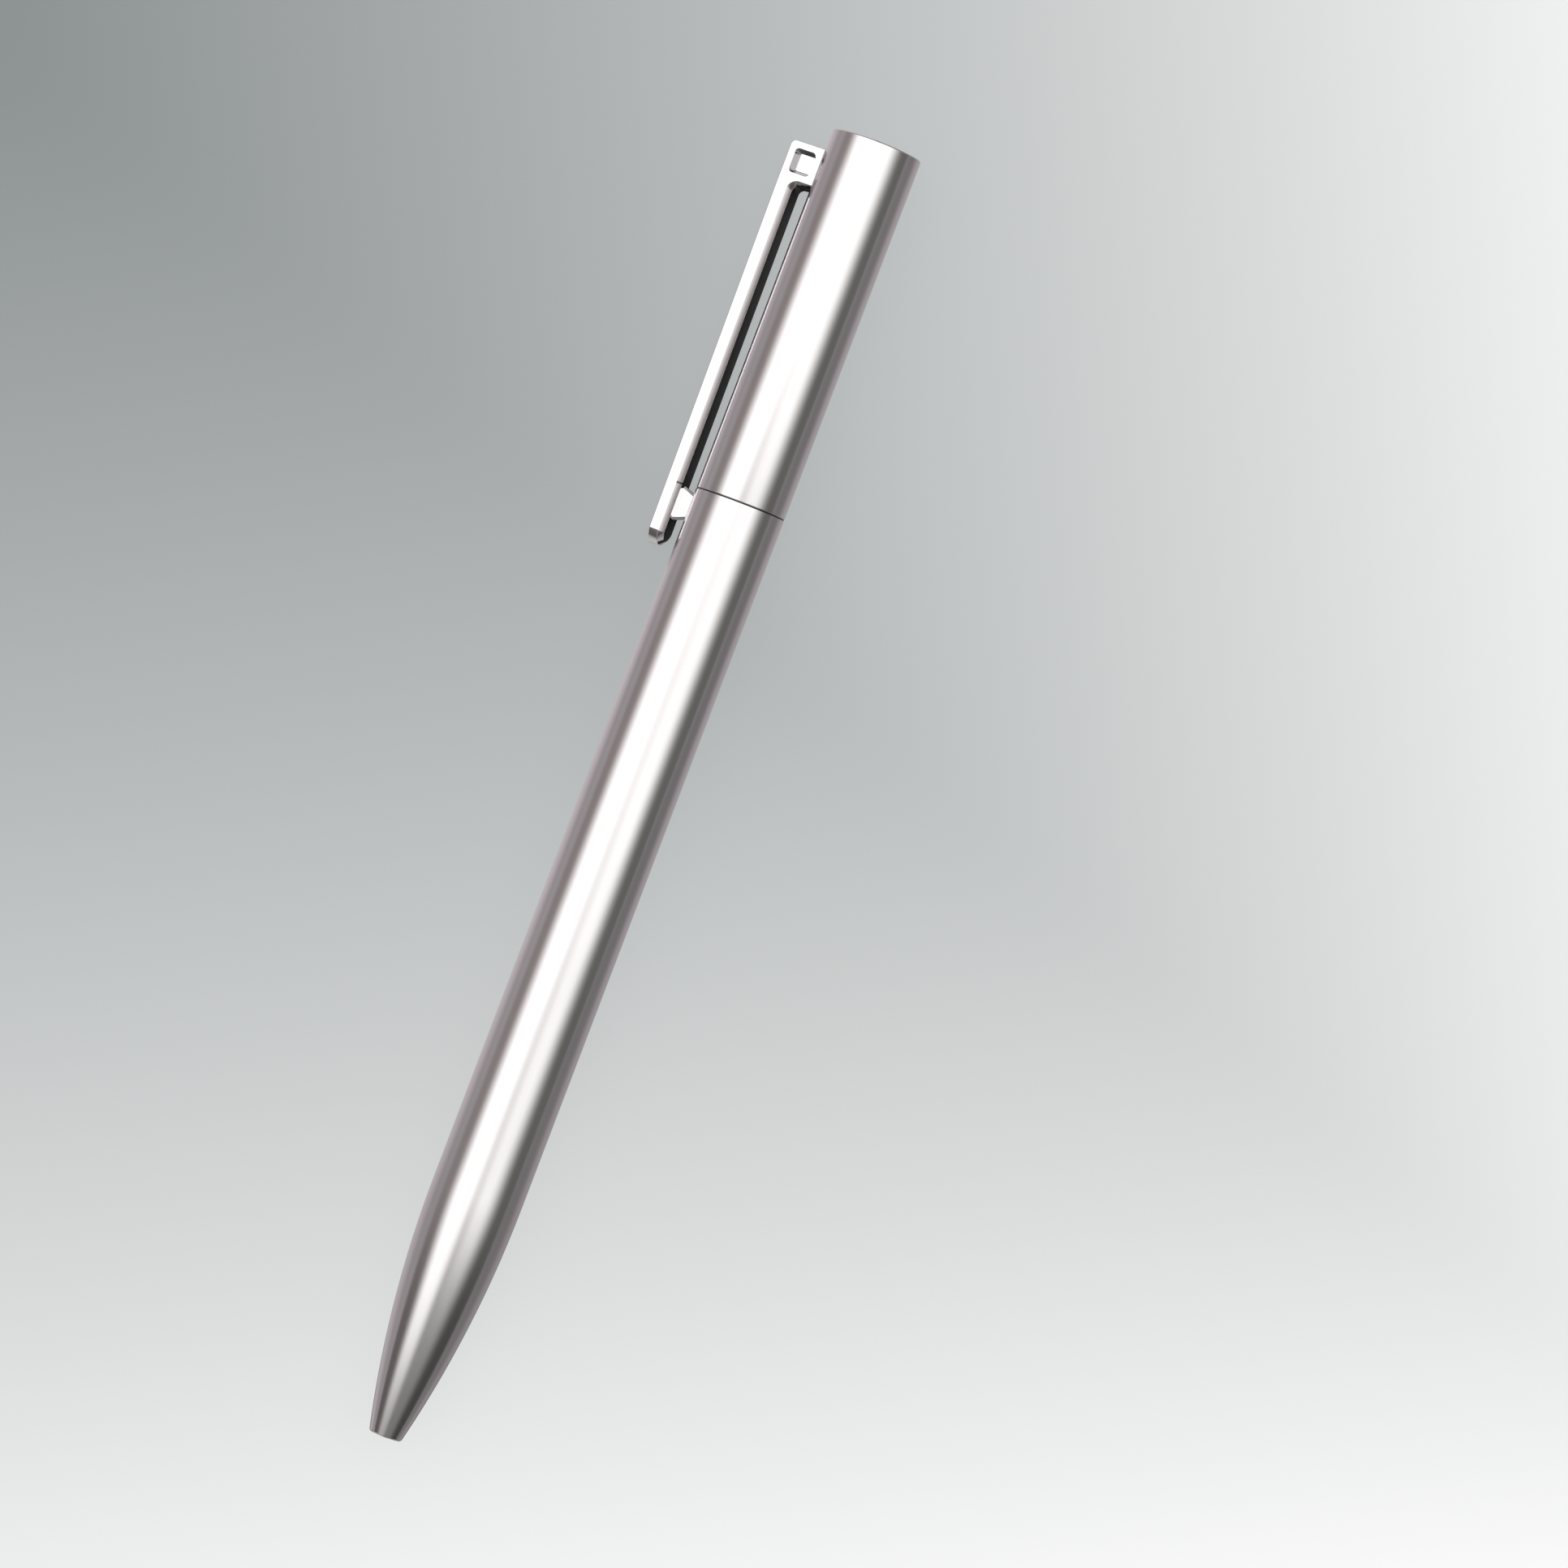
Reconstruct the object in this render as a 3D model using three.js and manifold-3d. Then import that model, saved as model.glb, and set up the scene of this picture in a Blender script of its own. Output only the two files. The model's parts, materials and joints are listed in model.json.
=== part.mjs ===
// Twist ballpoint pen with a square-block clip, lying on its barrel and on the edge of its clip.
// Millimetres. +X runs along the pen from the writing end to the cap end, and +Z is up.
// Stations are measured along the pen from the writing end; in each piece's own geometry the pen's
// axis is the X axis and the clip stands towards +Y. The pen group rolls all of it into its rest.
import * as THREE from 'three';
import { mergeVertices } from 'three/addons/utils/BufferGeometryUtils.js';
import Module from 'manifold-3d';

const wasm = await Module();
wasm.setup();

// Clearances
const pressGap = 0.05;
const slideClearance = 0.08;
const turnClearance = 0.08;
const seatGap = 0.05;

// Refill, of the common large metal size
const refillLength = 98.5;
const refillRadius = 2.9;
const refillWall = 0.3;
const shoulderFromTip = 14.5;
const shoulderFlat = 0.75;
const shoulderConeLength = 0.7;
const neckRadius = 1.45;
const neckWall = 0.45;
const nibRadius = 1.15;
const nibLength = 9.0;
const nibConeLength = 2.5;
const nibStemLength = 2.5;
const nibRim = 0.07;
const inkChannelRadius = 0.18;
const ballRadius = 0.35;
const ballClearance = 0.03;
const ballShown = 0.42;
const airLength = 6.3;
const followerLength = 3.8;
const plugLength = 7.0;
const plugStemLength = 3.5;
const ventRadius = 0.5;

// Twist movement: half a turn of the cap end moves the refill by the travel
const travel = 5.2;
const twistRange = Math.PI;
const tipRecess = 2.0;
const plungerStep = 0.23;
const guideWall = 0.72;
const camWall = 0.65;
const camFrontMargin = 3.0;
const camRearMargin = 8.0;
const camPinRadius = 0.6;
const camPinBackLength = 1.4;
const plungerTail = 4.0;
const ringThickness = 0.5;
const ringGrooveDepth = 0.35;
const ringMouth = Math.PI / 3;
const guideTail = 1.0;

// Threaded joint between the front barrel and the twist unit
const refillBoreClearance = 0.15;
const ferruleWall = 0.4;
const threadDepth = 0.3;
const threadPitch = 0.8;
const threadTurns = 10;
const threadGap = 0.07;
const ferruleLead = 0.4;
const collarLength = 2.4;
const neckLength = 2.5;
const frictionGrooveDepth = 0.45;
const frictionGrooveWidth = 0.8;
const frictionRingGap = 0.04;

// Barrels
const barrelWall = 0.615;
const rearBarrelLength = 39.7;
const refillToSeam = 2.9;
const seamWidth = 0.2;
const seamRecess = 0.12;
const edgeChamfer = 0.12;
const noseLength = 26.8;
const noseTipRadius = 1.75;
const nibBoreClearance = 0.1;
const springSeatMargin = 0.3;
const endPlugDisc = 1.2;
const endPlugSkirt = 0.9;
const endPlugWall = 0.7;

// Return spring
const wireRadius = 0.2;
const springNeckGap = 0.15;
const springBoreGap = 0.15;
const springTurns = 10;
const springEndPitch = 0.55;

// Clip
const clipWidth = 3.2;
const blockLength = 4.2;
const blockFromEnd = 2.4;
const blockReach = 3.705;
const blockCorner = 0.5;
const blockFillet = 0.65;
const armThickness = 1.76;
const footReach = 3.34;
const footThickness = 1.63;
const armBevel = 0.44;
const footPastSeam = 7.0;
const padFromSeam = 0.5;
const padRootLength = 3.3;
const padTipLength = 2.7;
const padTipShift = 0.35;
const padWidth = 2.3;
const padBevel = 0.3;
const padGap = 0.1;
const pocketLength = 2.7;
const pocketHeight = 2.43;
const pocketWallRun = 0.45;
const pocketDepth = 0.7;
const pocketCorner = 0.4;
const pocketDrop = 0.14;
const tangLength = 3.2;
const tangWidth = 2.0;
const tangPastWall = 0.3;
const saddleThickness = 0.7;
const saddleWidth = 3.8;
const saddleLength = 4.4;
const screwSpacing = 1.8;
const screwRadius = 0.42;
const screwHeadRadius = 0.8;
const screwHeadHeight = 0.5;
const screwSlotWidth = 0.25;
const screwSlotDepth = 0.22;
const screwReach = 1.9;

// Facets
const barrelSides = 48;
const innerSides = 24;
const smallSides = 16;
const noseSteps = 14;
const cornerSteps = 4;
const slotSteps = 24;
const springStepsPerTurn = 16;
const springSides = 5;

// Radii of the nested tubes, built outwards from the refill
const plungerRadius = refillRadius - plungerStep;
const guideBore = plungerRadius + slideClearance;
const guideRadius = guideBore + guideWall;
const camBore = guideRadius + turnClearance;
const camRadius = camBore + camWall;
const barrelBore = camRadius + pressGap;
const barrelRadius = barrelBore + barrelWall;
const refillBore = refillRadius + refillBoreClearance;
const ferruleNeckRadius = barrelBore - turnClearance;
const threadRootRadius = refillBore + ferruleWall;
const threadCrestRadius = threadRootRadius + threadDepth;
const nibBore = nibRadius + nibBoreClearance;
const springRadius = neckRadius + springNeckGap + wireRadius;
const springBore = springRadius + wireRadius + springBoreGap;

// Stations along the pen
const refillEnd = tipRecess + refillLength;
const frontBarrelEnd = refillEnd + refillToSeam;
const rearBarrelStart = frontBarrelEnd + seamWidth;
const penLength = rearBarrelStart + rearBarrelLength;
const threadLength = threadPitch * threadTurns;
const collarStart = frontBarrelEnd - collarLength;
const insertStart = collarStart - threadLength;
const ferruleStart = insertStart - ferruleLead;
const ferruleEnd = rearBarrelStart + neckLength;
const guideStart = collarStart + ferruleWall + 2 * seatGap;
const camStart = ferruleEnd + seatGap;
const pinForward = camStart + camFrontMargin;
const pinStation = pinForward + travel;
const camEnd = pinStation + camRearMargin;
const ringStation = camEnd + seatGap;
const guideEnd = ringStation + ringThickness + seatGap + guideTail;
const shoulderStation = tipRecess + shoulderFromTip;
const springSeatStation = tipRecess + nibLength - travel - springSeatMargin;
const blockEnd = penLength - blockFromEnd;
const blockStart = blockEnd - blockLength;
const blockMiddle = blockStart + blockLength / 2;
const footEnd = frontBarrelEnd - footPastSeam;
const footCentre = footEnd + clipWidth / 2;

// Stations along the refill, from the writing ball's outermost point
const plugStart = refillLength - plugLength - plugStemLength;
const inkBodyStart = shoulderFromTip + shoulderConeLength + 2 * refillWall;
const inkEnd = plugStart - airLength - followerLength - seatGap;

// Heights of the clip above the pen's axis
const clipTop = barrelRadius + blockReach;
const armInner = clipTop - armThickness;
const footTop = barrelRadius + footReach;
const footInner = footTop - footThickness;
const pocketCentre = (barrelRadius + clipTop) / 2 - pocketDrop;

// The pen rolls until the clip's lower outer edge meets the surface that the barrel lies on.
const cornerRadius = Math.hypot(clipTop, clipWidth / 2);
const restRoll = Math.asin(barrelRadius / cornerRadius) - Math.atan2(clipWidth / 2, clipTop);
const clipSide = clipTop * Math.cos(restRoll) + (clipWidth / 2) * Math.sin(restRoll);

// Materials
function metal(color, roughness) {
  return new THREE.MeshStandardMaterial({ color, roughness, metalness: 1 });
}

function dull(color, roughness) {
  return new THREE.MeshStandardMaterial({ color, roughness, metalness: 0 });
}

const satinSilver = () => metal(0xcbc8c8, 0.3);
const polishedSilver = () => metal(0xdcdcdc, 0.12);
const steel = () => metal(0xa9abad, 0.3);
const brass = () => metal(0xb79a58, 0.32);
const blackPlastic = () => dull(0x1b1a1c, 0.5);
const whitePlastic = () => dull(0xe6e4df, 0.45);
const greyPlastic = () => dull(0x6f7276, 0.5);
const rubber = () => dull(0x161616, 0.8);
const ink = () => dull(0x10183c, 0.35);
const grease = () => dull(0xcfc58f, 0.3);

// Merges shared corners, drops collapsed triangles and turns the faces outwards.
function closedMesh(geometry) {
  const bare = geometry.clone();
  bare.deleteAttribute('normal');
  bare.deleteAttribute('uv');
  const merged = mergeVertices(bare, 1e-4);
  const corners = merged.index.array;
  const kept = [];
  const a = new THREE.Vector3();
  const b = new THREE.Vector3();
  const c = new THREE.Vector3();
  let volume = 0;
  for (let i = 0; i < corners.length; i += 3) {
    const [p, q, r] = corners.slice(i, i + 3);
    if (p !== q && q !== r && r !== p) {
      kept.push(p, q, r);
      a.fromBufferAttribute(merged.attributes.position, p);
      b.fromBufferAttribute(merged.attributes.position, q);
      c.fromBufferAttribute(merged.attributes.position, r);
      volume += a.dot(b.cross(c)) / 6;
    }
  }
  if (volume < 0) {
    kept.reverse();
  }
  merged.setIndex(kept);
  merged.computeVertexNormals();
  return merged;
}

function toSolid(geometry) {
  const mesh = closedMesh(geometry);
  const vertProperties = new Float32Array(mesh.attributes.position.array);
  const triVerts = new Uint32Array(mesh.index.array);
  return new wasm.Manifold(new wasm.Mesh({ numProp: 3, vertProperties, triVerts }));
}

function toGeometry(solid) {
  const mesh = solid.getMesh();
  const geometry = new THREE.BufferGeometry();
  geometry.setAttribute('position', new THREE.BufferAttribute(mesh.vertProperties, 3));
  geometry.setIndex(new THREE.BufferAttribute(mesh.triVerts, 1));
  geometry.computeVertexNormals();
  return geometry;
}

function cut(geometry, ...cutters) {
  let solid = toSolid(geometry);
  for (const cutter of cutters) {
    solid = solid.subtract(toSolid(cutter));
  }
  return toGeometry(solid);
}

function join(geometry, ...others) {
  let solid = toSolid(geometry);
  for (const other of others) {
    solid = solid.add(toSolid(other));
  }
  return toGeometry(solid);
}

// Spins a profile of [station, radius] points about the X axis. The first facet edge is set so that
// one edge of every tube lies lowest when the pen rests.
function turned(profile, sides) {
  const points = profile.map(([station, radius]) => new THREE.Vector2(radius, station));
  const geometry = new THREE.LatheGeometry(points, sides, restRoll);
  return closedMesh(geometry.rotateZ(-Math.PI / 2));
}

// A tube's closed profile between two stations.
function tubeProfile(start, end, inner, outer) {
  return [[start, inner], [start, outer], [end, outer], [end, inner], [start, inner]];
}

function box(xRange, yRange, zRange) {
  const size = [xRange, yRange, zRange].map(([low, high]) => high - low);
  const middle = [xRange, yRange, zRange].map(([low, high]) => (low + high) / 2);
  return new THREE.BoxGeometry(...size).translate(...middle);
}

// A round bar that stands across the pen, along +Y or +Z, at a station.
function crossBar(station, radius, low, high, axis, sides) {
  const bar = new THREE.CylinderGeometry(radius, radius, high - low, sides);
  bar.translate(0, (low + high) / 2, 0);
  if (axis === 'z') {
    bar.rotateX(Math.PI / 2);
  }
  return bar.translate(station, 0, 0);
}

// Skins a row of matching convex rings and closes both ends.
function loft(rings) {
  const count = rings[0].length;
  const positions = rings.flat().flatMap((point) => point.toArray());
  const index = [];
  for (let ring = 0; ring + 1 < rings.length; ring += 1) {
    for (let i = 0; i < count; i += 1) {
      const near = ring * count + i;
      const next = ring * count + (i + 1) % count;
      index.push(near, next, near + count, next, next + count, near + count);
    }
  }
  const last = (rings.length - 1) * count;
  for (let i = 1; i + 1 < count; i += 1) {
    index.push(0, i + 1, i);
    index.push(last, last + i, last + i + 1);
  }
  const geometry = new THREE.BufferGeometry();
  geometry.setAttribute('position', new THREE.Float32BufferAttribute(positions, 3));
  geometry.setIndex(index);
  return closedMesh(geometry);
}

function extruded(shape, width, bevel) {
  const geometry = new THREE.ExtrudeGeometry(shape, {
    depth: width - 2 * bevel,
    bevelEnabled: bevel > 0,
    bevelSize: bevel,
    bevelThickness: bevel,
    bevelOffset: -bevel,
    bevelSegments: 1,
    curveSegments: cornerSteps,
  });
  return geometry.translate(0, 0, bevel - width / 2);
}

// Barrels and what closes them
function noseRadiusAt(station) {
  const drop = barrelRadius - noseTipRadius;
  const arcRadius = (noseLength ** 2 + drop ** 2) / (2 * drop);
  const back = Math.max(noseLength - station, 0);
  return barrelRadius - arcRadius + Math.sqrt(arcRadius ** 2 - back ** 2);
}

function frontBarrel() {
  const outside = [];
  for (let step = 0; step <= noseSteps; step += 1) {
    const station = edgeChamfer + (noseLength - edgeChamfer) * (step / noseSteps);
    outside.push([station, noseRadiusAt(station)]);
  }
  const refillBoreStart = shoulderStation - travel - seatGap;
  const springBoreEnd = refillBoreStart - (refillBore - springBore);
  return turned([
    [0, nibBore],
    [0, noseTipRadius - edgeChamfer],
    ...outside,
    [frontBarrelEnd - edgeChamfer, barrelRadius],
    [frontBarrelEnd, barrelRadius - edgeChamfer],
    [frontBarrelEnd, barrelBore],
    [noseLength, barrelBore],
    [noseLength - (barrelBore - refillBore), refillBore],
    [refillBoreStart, refillBore],
    [springBoreEnd, springBore],
    [springSeatStation, springBore],
    [springSeatStation, nibBore],
    [0, nibBore],
  ], barrelSides);
}

// Stations in this piece count from its own front end.
function rearBarrel() {
  const tube = turned([
    [0, barrelBore],
    [0, barrelRadius - edgeChamfer],
    [edgeChamfer, barrelRadius],
    [rearBarrelLength - edgeChamfer, barrelRadius],
    [rearBarrelLength, barrelRadius - edgeChamfer],
    [rearBarrelLength, barrelBore],
    [0, barrelBore],
  ], barrelSides);
  const windowMiddle = blockMiddle - rearBarrelStart;
  const halfLength = tangLength / 2 + seatGap;
  const halfWidth = tangWidth / 2 + seatGap;
  const window = box(
    [windowMiddle - halfLength, windowMiddle + halfLength],
    [0, barrelRadius + seatGap],
    [-halfWidth, halfWidth],
  );
  return cut(tube, window);
}

function endPlug() {
  const outer = barrelBore - pressGap;
  return turned([
    [0, outer - endPlugWall],
    [0, outer],
    [endPlugSkirt + endPlugDisc - edgeChamfer, outer],
    [endPlugSkirt + endPlugDisc, outer - edgeChamfer],
    [endPlugSkirt + endPlugDisc, 0],
    [endPlugSkirt, 0],
    [endPlugSkirt, outer - endPlugWall],
    [0, outer - endPlugWall],
  ], innerSides);
}

function seamWasher() {
  const thickness = seamWidth - 2 * seatGap;
  return turned(tubeProfile(0, thickness, barrelBore, barrelRadius - seamRecess), barrelSides);
}

// Crests and roots of a thread as rings: pairs of points from a start station.
function threadRidges(start, root, crest) {
  const ridges = [];
  for (let turn = 0; turn < threadTurns; turn += 1) {
    const station = start + turn * threadPitch;
    ridges.push([station, root]);
    ridges.push([station + threadPitch / 2, crest]);
  }
  ridges.push([start + threadLength, root]);
  return ridges;
}

function threadInsert() {
  const root = threadRootRadius + threadGap;
  const crest = threadCrestRadius + threadGap;
  const outer = barrelBore - pressGap;
  const inside = threadRidges(0, root, crest);
  return turned([...inside, [threadLength, outer], [0, outer], [0, root]], innerSides);
}

// Stations count from the ferrule's front end.
function ferrule() {
  const seat = guideRadius + pressGap;
  const collar = collarStart + seatGap - ferruleStart;
  const end = ferruleEnd - ferruleStart;
  const guideFloor = guideStart - seatGap - ferruleStart;
  const grooveMiddle = rearBarrelStart + neckLength / 2 - ferruleStart;
  const grooveFloor = ferruleNeckRadius - frictionGrooveDepth;
  const grooveStart = grooveMiddle - frictionGrooveWidth / 2;
  const grooveEnd = grooveMiddle + frictionGrooveWidth / 2;
  return turned([
    [0, refillBore],
    [0, threadRootRadius],
    ...threadRidges(ferruleLead, threadRootRadius, threadCrestRadius),
    [collar, threadRootRadius],
    [collar, ferruleNeckRadius],
    [grooveStart, ferruleNeckRadius],
    [grooveStart, grooveFloor],
    [grooveEnd, grooveFloor],
    [grooveEnd, ferruleNeckRadius],
    [end, ferruleNeckRadius],
    [end, seat],
    [guideFloor, seat],
    [guideFloor, refillBore],
    [0, refillBore],
  ], innerSides);
}

function frictionRing() {
  const floor = ferruleNeckRadius - frictionGrooveDepth;
  const middle = (barrelBore + floor) / 2;
  const radius = (barrelBore - floor) / 2 - frictionRingGap;
  const profile = [];
  for (let step = 0; step <= 2 * cornerSteps; step += 1) {
    const angle = (Math.PI * step) / cornerSteps;
    profile.push([radius * Math.sin(angle), middle + radius * Math.cos(angle)]);
  }
  return turned(profile, innerSides);
}

// Twist unit
function guideTube() {
  const grooveStart = ringStation - seatGap - guideStart;
  const grooveEnd = ringStation + ringThickness + seatGap - guideStart;
  const groove = guideRadius - ringGrooveDepth;
  const end = guideEnd - guideStart;
  const tube = turned([
    [0, guideBore],
    [0, guideRadius],
    [grooveStart, guideRadius],
    [grooveStart, groove],
    [grooveEnd, groove],
    [grooveEnd, guideRadius],
    [end, guideRadius],
    [end, guideBore],
    [0, guideBore],
  ], innerSides);
  const halfSlot = camPinRadius + slideClearance;
  const front = pinForward - guideStart;
  const rear = pinStation - guideStart;
  const top = guideRadius + seatGap;
  const slot = box([front, rear], [-halfSlot, halfSlot], [0, top]);
  const frontRound = crossBar(front, halfSlot, 0, top, 'z', smallSides);
  const rearRound = crossBar(rear, halfSlot, 0, top, 'z', smallSides);
  return cut(tube, slot, frontRound, rearRound);
}

// The slot winds back and forward so that it follows the pin: it starts over the pin at rest, and
// lies further forward the further the sleeve has turned.
function camSlotPoint(radius, turn, side) {
  const angle = Math.PI / 2 - turn;
  const station = pinStation - camStart - (travel * turn) / twistRange + side;
  return new THREE.Vector3(station, radius * Math.cos(angle), radius * Math.sin(angle));
}

function camSleeve() {
  const sleeve = turned(tubeProfile(0, camEnd - camStart, camBore, camRadius), innerSides);
  const slope = Math.atan2(travel, twistRange * camBore);
  const halfSlot = camPinRadius + slideClearance;
  const halfAlong = halfSlot / Math.cos(slope);
  const inner = camBore - camWall;
  const outer = camRadius + camWall;
  const rings = [];
  for (let step = 0; step <= slotSteps; step += 1) {
    const turn = (twistRange * step) / slotSteps;
    rings.push([
      camSlotPoint(inner, turn, -halfAlong),
      camSlotPoint(inner, turn, halfAlong),
      camSlotPoint(outer, turn, halfAlong),
      camSlotPoint(outer, turn, -halfAlong),
    ]);
  }
  const rest = pinStation - camStart;
  const forward = pinForward - camStart;
  const restRound = crossBar(rest, halfSlot, 0, outer, 'z', smallSides);
  const farRound = crossBar(forward, halfSlot, 0, outer, 'z', smallSides).rotateX(-twistRange);
  return cut(sleeve, loft(rings), restRound, farRound);
}

function retainingRing() {
  const inner = guideRadius - ringGrooveDepth + pressGap;
  const outer = camRadius - pressGap;
  const shape = new THREE.Shape();
  shape.absarc(0, 0, outer, ringMouth / 2, 2 * Math.PI - ringMouth / 2, false);
  shape.absarc(0, 0, inner, 2 * Math.PI - ringMouth / 2, ringMouth / 2, true);
  const geometry = new THREE.ExtrudeGeometry(shape, {
    depth: ringThickness,
    bevelEnabled: false,
    curveSegments: innerSides,
  });
  return geometry.rotateY(Math.PI / 2);
}

// Stations count from the plunger's front face, which pushes on the refill.
function drivePlunger() {
  const length = pinStation + plungerTail - refillEnd - seatGap;
  const pin = pinStation - refillEnd - seatGap;
  const body = turned([[0, 0], [0, plungerRadius], [length, plungerRadius], [length, 0]], innerSides);
  const low = -camPinBackLength - seatGap;
  const hole = crossBar(pin, camPinRadius + pressGap, low, plungerRadius + seatGap, 'z', smallSides);
  return cut(body, hole);
}

function camPin() {
  const pin = crossBar(0, camPinRadius, -camPinBackLength, camRadius - pressGap, 'z', smallSides);
  return closedMesh(pin);
}

// Refill, with stations from the writing ball's outermost point
function nibPoint() {
  const rimStation = ballShown * ballRadius;
  const rimBore = Math.sqrt(ballRadius ** 2 - (ballRadius - rimStation) ** 2) + ballClearance;
  const seatRadius = ballRadius + ballClearance;
  const stemRadius = neckRadius - neckWall - pressGap;
  return turned([
    [rimStation, rimBore],
    [rimStation, rimBore + nibRim],
    [nibConeLength, nibRadius],
    [nibLength, nibRadius],
    [nibLength, stemRadius],
    [nibLength + nibStemLength, stemRadius],
    [nibLength + nibStemLength, inkChannelRadius],
    [2 * ballRadius + ballClearance + seatRadius / 2, inkChannelRadius],
    [2 * ballRadius + ballClearance, seatRadius],
    [ballRadius, seatRadius],
    [rimStation, rimBore],
  ], innerSides);
}

function writingBall() {
  return closedMesh(new THREE.SphereGeometry(ballRadius, smallSides, smallSides / 2));
}

function refillTube() {
  const neckBore = neckRadius - neckWall;
  const bodyBore = refillRadius - refillWall;
  const neckStart = nibLength + seatGap;
  const stepRadius = neckRadius + shoulderFlat;
  const bodyStart = shoulderFromTip + shoulderConeLength;
  const bodyEnd = refillLength - plugLength - seatGap;
  return turned([
    [neckStart, neckBore],
    [neckStart, neckRadius],
    [shoulderFromTip, neckRadius],
    [shoulderFromTip, stepRadius],
    [bodyStart, refillRadius],
    [bodyEnd, refillRadius],
    [bodyEnd, bodyBore],
    [bodyStart + refillWall, bodyBore],
    [shoulderFromTip + refillWall, neckBore],
    [neckStart, neckBore],
  ], innerSides);
}

function inkColumn() {
  const stem = neckRadius - neckWall - pressGap;
  const body = refillRadius - refillWall - pressGap;
  const start = nibLength + nibStemLength + seatGap;
  return turned([
    [start, 0],
    [start, stem],
    [shoulderFromTip + refillWall, stem],
    [inkBodyStart, body],
    [inkEnd, body],
    [inkEnd, 0],
  ], innerSides);
}

function inkFollower() {
  const radius = refillRadius - refillWall - pressGap;
  return turned([[0, 0], [0, radius], [followerLength, radius], [followerLength, 0]], innerSides);
}

// Stations count from the front end of the stem, which sits inside the refill's tube.
function refillPlug() {
  const stem = refillRadius - refillWall - pressGap;
  const end = plugStemLength + plugLength;
  return turned([
    [0, ventRadius],
    [0, stem],
    [plugStemLength, stem],
    [plugStemLength, refillRadius],
    [end - edgeChamfer, refillRadius],
    [end, refillRadius - edgeChamfer],
    [end, ventRadius],
    [0, ventRadius],
  ], innerSides);
}

// Compression spring whose last turn at each end is wound close
class SpringPath extends THREE.Curve {
  constructor(length) {
    super();
    this.length = length;
  }

  getPoint(t) {
    const turn = springTurns * t;
    const openTurns = springTurns - 2;
    const openPitch = (this.length - 2 * springEndPitch) / openTurns;
    const opened = Math.min(Math.max(turn - 1, 0), openTurns);
    const station = springEndPitch * (turn - opened) + openPitch * opened;
    const angle = 2 * Math.PI * turn;
    const y = springRadius * Math.cos(angle);
    const z = springRadius * Math.sin(angle);
    return new THREE.Vector3(station, y, z);
  }
}

function returnSpring() {
  const room = shoulderStation - springSeatStation;
  const path = new SpringPath(room - 2 * (wireRadius + seatGap));
  const section = new THREE.Shape();
  for (let side = 0; side < springSides; side += 1) {
    const angle = (2 * Math.PI * side) / springSides;
    const point = [wireRadius * Math.cos(angle), wireRadius * Math.sin(angle)];
    if (side === 0) {
      section.moveTo(...point);
    } else {
      section.lineTo(...point);
    }
  }
  section.closePath();
  const wire = new THREE.ExtrudeGeometry(section, {
    steps: springTurns * springStepsPerTurn,
    extrudePath: path,
  });
  return closedMesh(wire);
}

// Clip, with stations from the front face of its block
function armRing(station, inner, outer) {
  const half = clipWidth / 2;
  return [
    [outer, -half],
    [outer, half],
    [inner + armBevel, half],
    [inner, half - armBevel],
    [inner, armBevel - half],
    [inner + armBevel, -half],
  ].map(([y, z]) => new THREE.Vector3(station, y, z));
}

// The arm's round end, with the arm's inner bevel carried round it
function clipFoot() {
  const half = clipWidth / 2;
  const points = [
    [0, footInner],
    [half - armBevel, footInner],
    [half, footInner + armBevel],
    [half, footTop],
    [0, footTop],
  ].map(([radius, height]) => new THREE.Vector2(radius, height));
  return new THREE.LatheGeometry(points, innerSides);
}

function clipBlock() {
  const shape = new THREE.Shape();
  shape.moveTo(0, 0);
  shape.lineTo(blockLength, 0);
  shape.lineTo(blockLength, clipTop - blockCorner);
  shape.absarc(blockLength - blockCorner, clipTop - blockCorner, blockCorner, 0, Math.PI / 2, false);
  shape.lineTo(0, clipTop);
  shape.lineTo(-blockFillet, armInner + armThickness / 2);
  shape.lineTo(-blockFillet, armInner);
  shape.absarc(-blockFillet, armInner - blockFillet, blockFillet, Math.PI / 2, 0, true);
  shape.closePath();
  return extruded(shape, clipWidth, 0);
}

function clipPad() {
  const rootEnd = frontBarrelEnd - padFromSeam - blockStart;
  const rootStart = rootEnd - padRootLength;
  const tipEnd = rootEnd - padTipShift;
  const tipStart = tipEnd - padTipLength;
  const root = footInner + footThickness / 2;
  const tip = barrelRadius + padGap;
  const shape = new THREE.Shape();
  shape.moveTo(tipStart, tip);
  shape.lineTo(tipEnd, tip);
  shape.lineTo(rootEnd, footInner);
  shape.lineTo(rootEnd, root);
  shape.lineTo(rootStart, root);
  shape.lineTo(rootStart, footInner);
  shape.closePath();
  return extruded(shape, padWidth, padBevel);
}

function roundedRing(length, height, corner, z) {
  const ring = [];
  for (let quarter = 0; quarter < 4; quarter += 1) {
    const right = quarter === 0 || quarter === 3 ? 1 : -1;
    const upper = quarter < 2 ? 1 : -1;
    for (let step = 0; step <= cornerSteps; step += 1) {
      const angle = (Math.PI / 2) * (quarter + step / cornerSteps);
      const x = right * (length / 2 - corner) + corner * Math.cos(angle);
      const y = upper * (height / 2 - corner) + corner * Math.sin(angle);
      ring.push(new THREE.Vector3(blockLength / 2 + x, pocketCentre + y, z));
    }
  }
  return ring;
}

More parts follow.
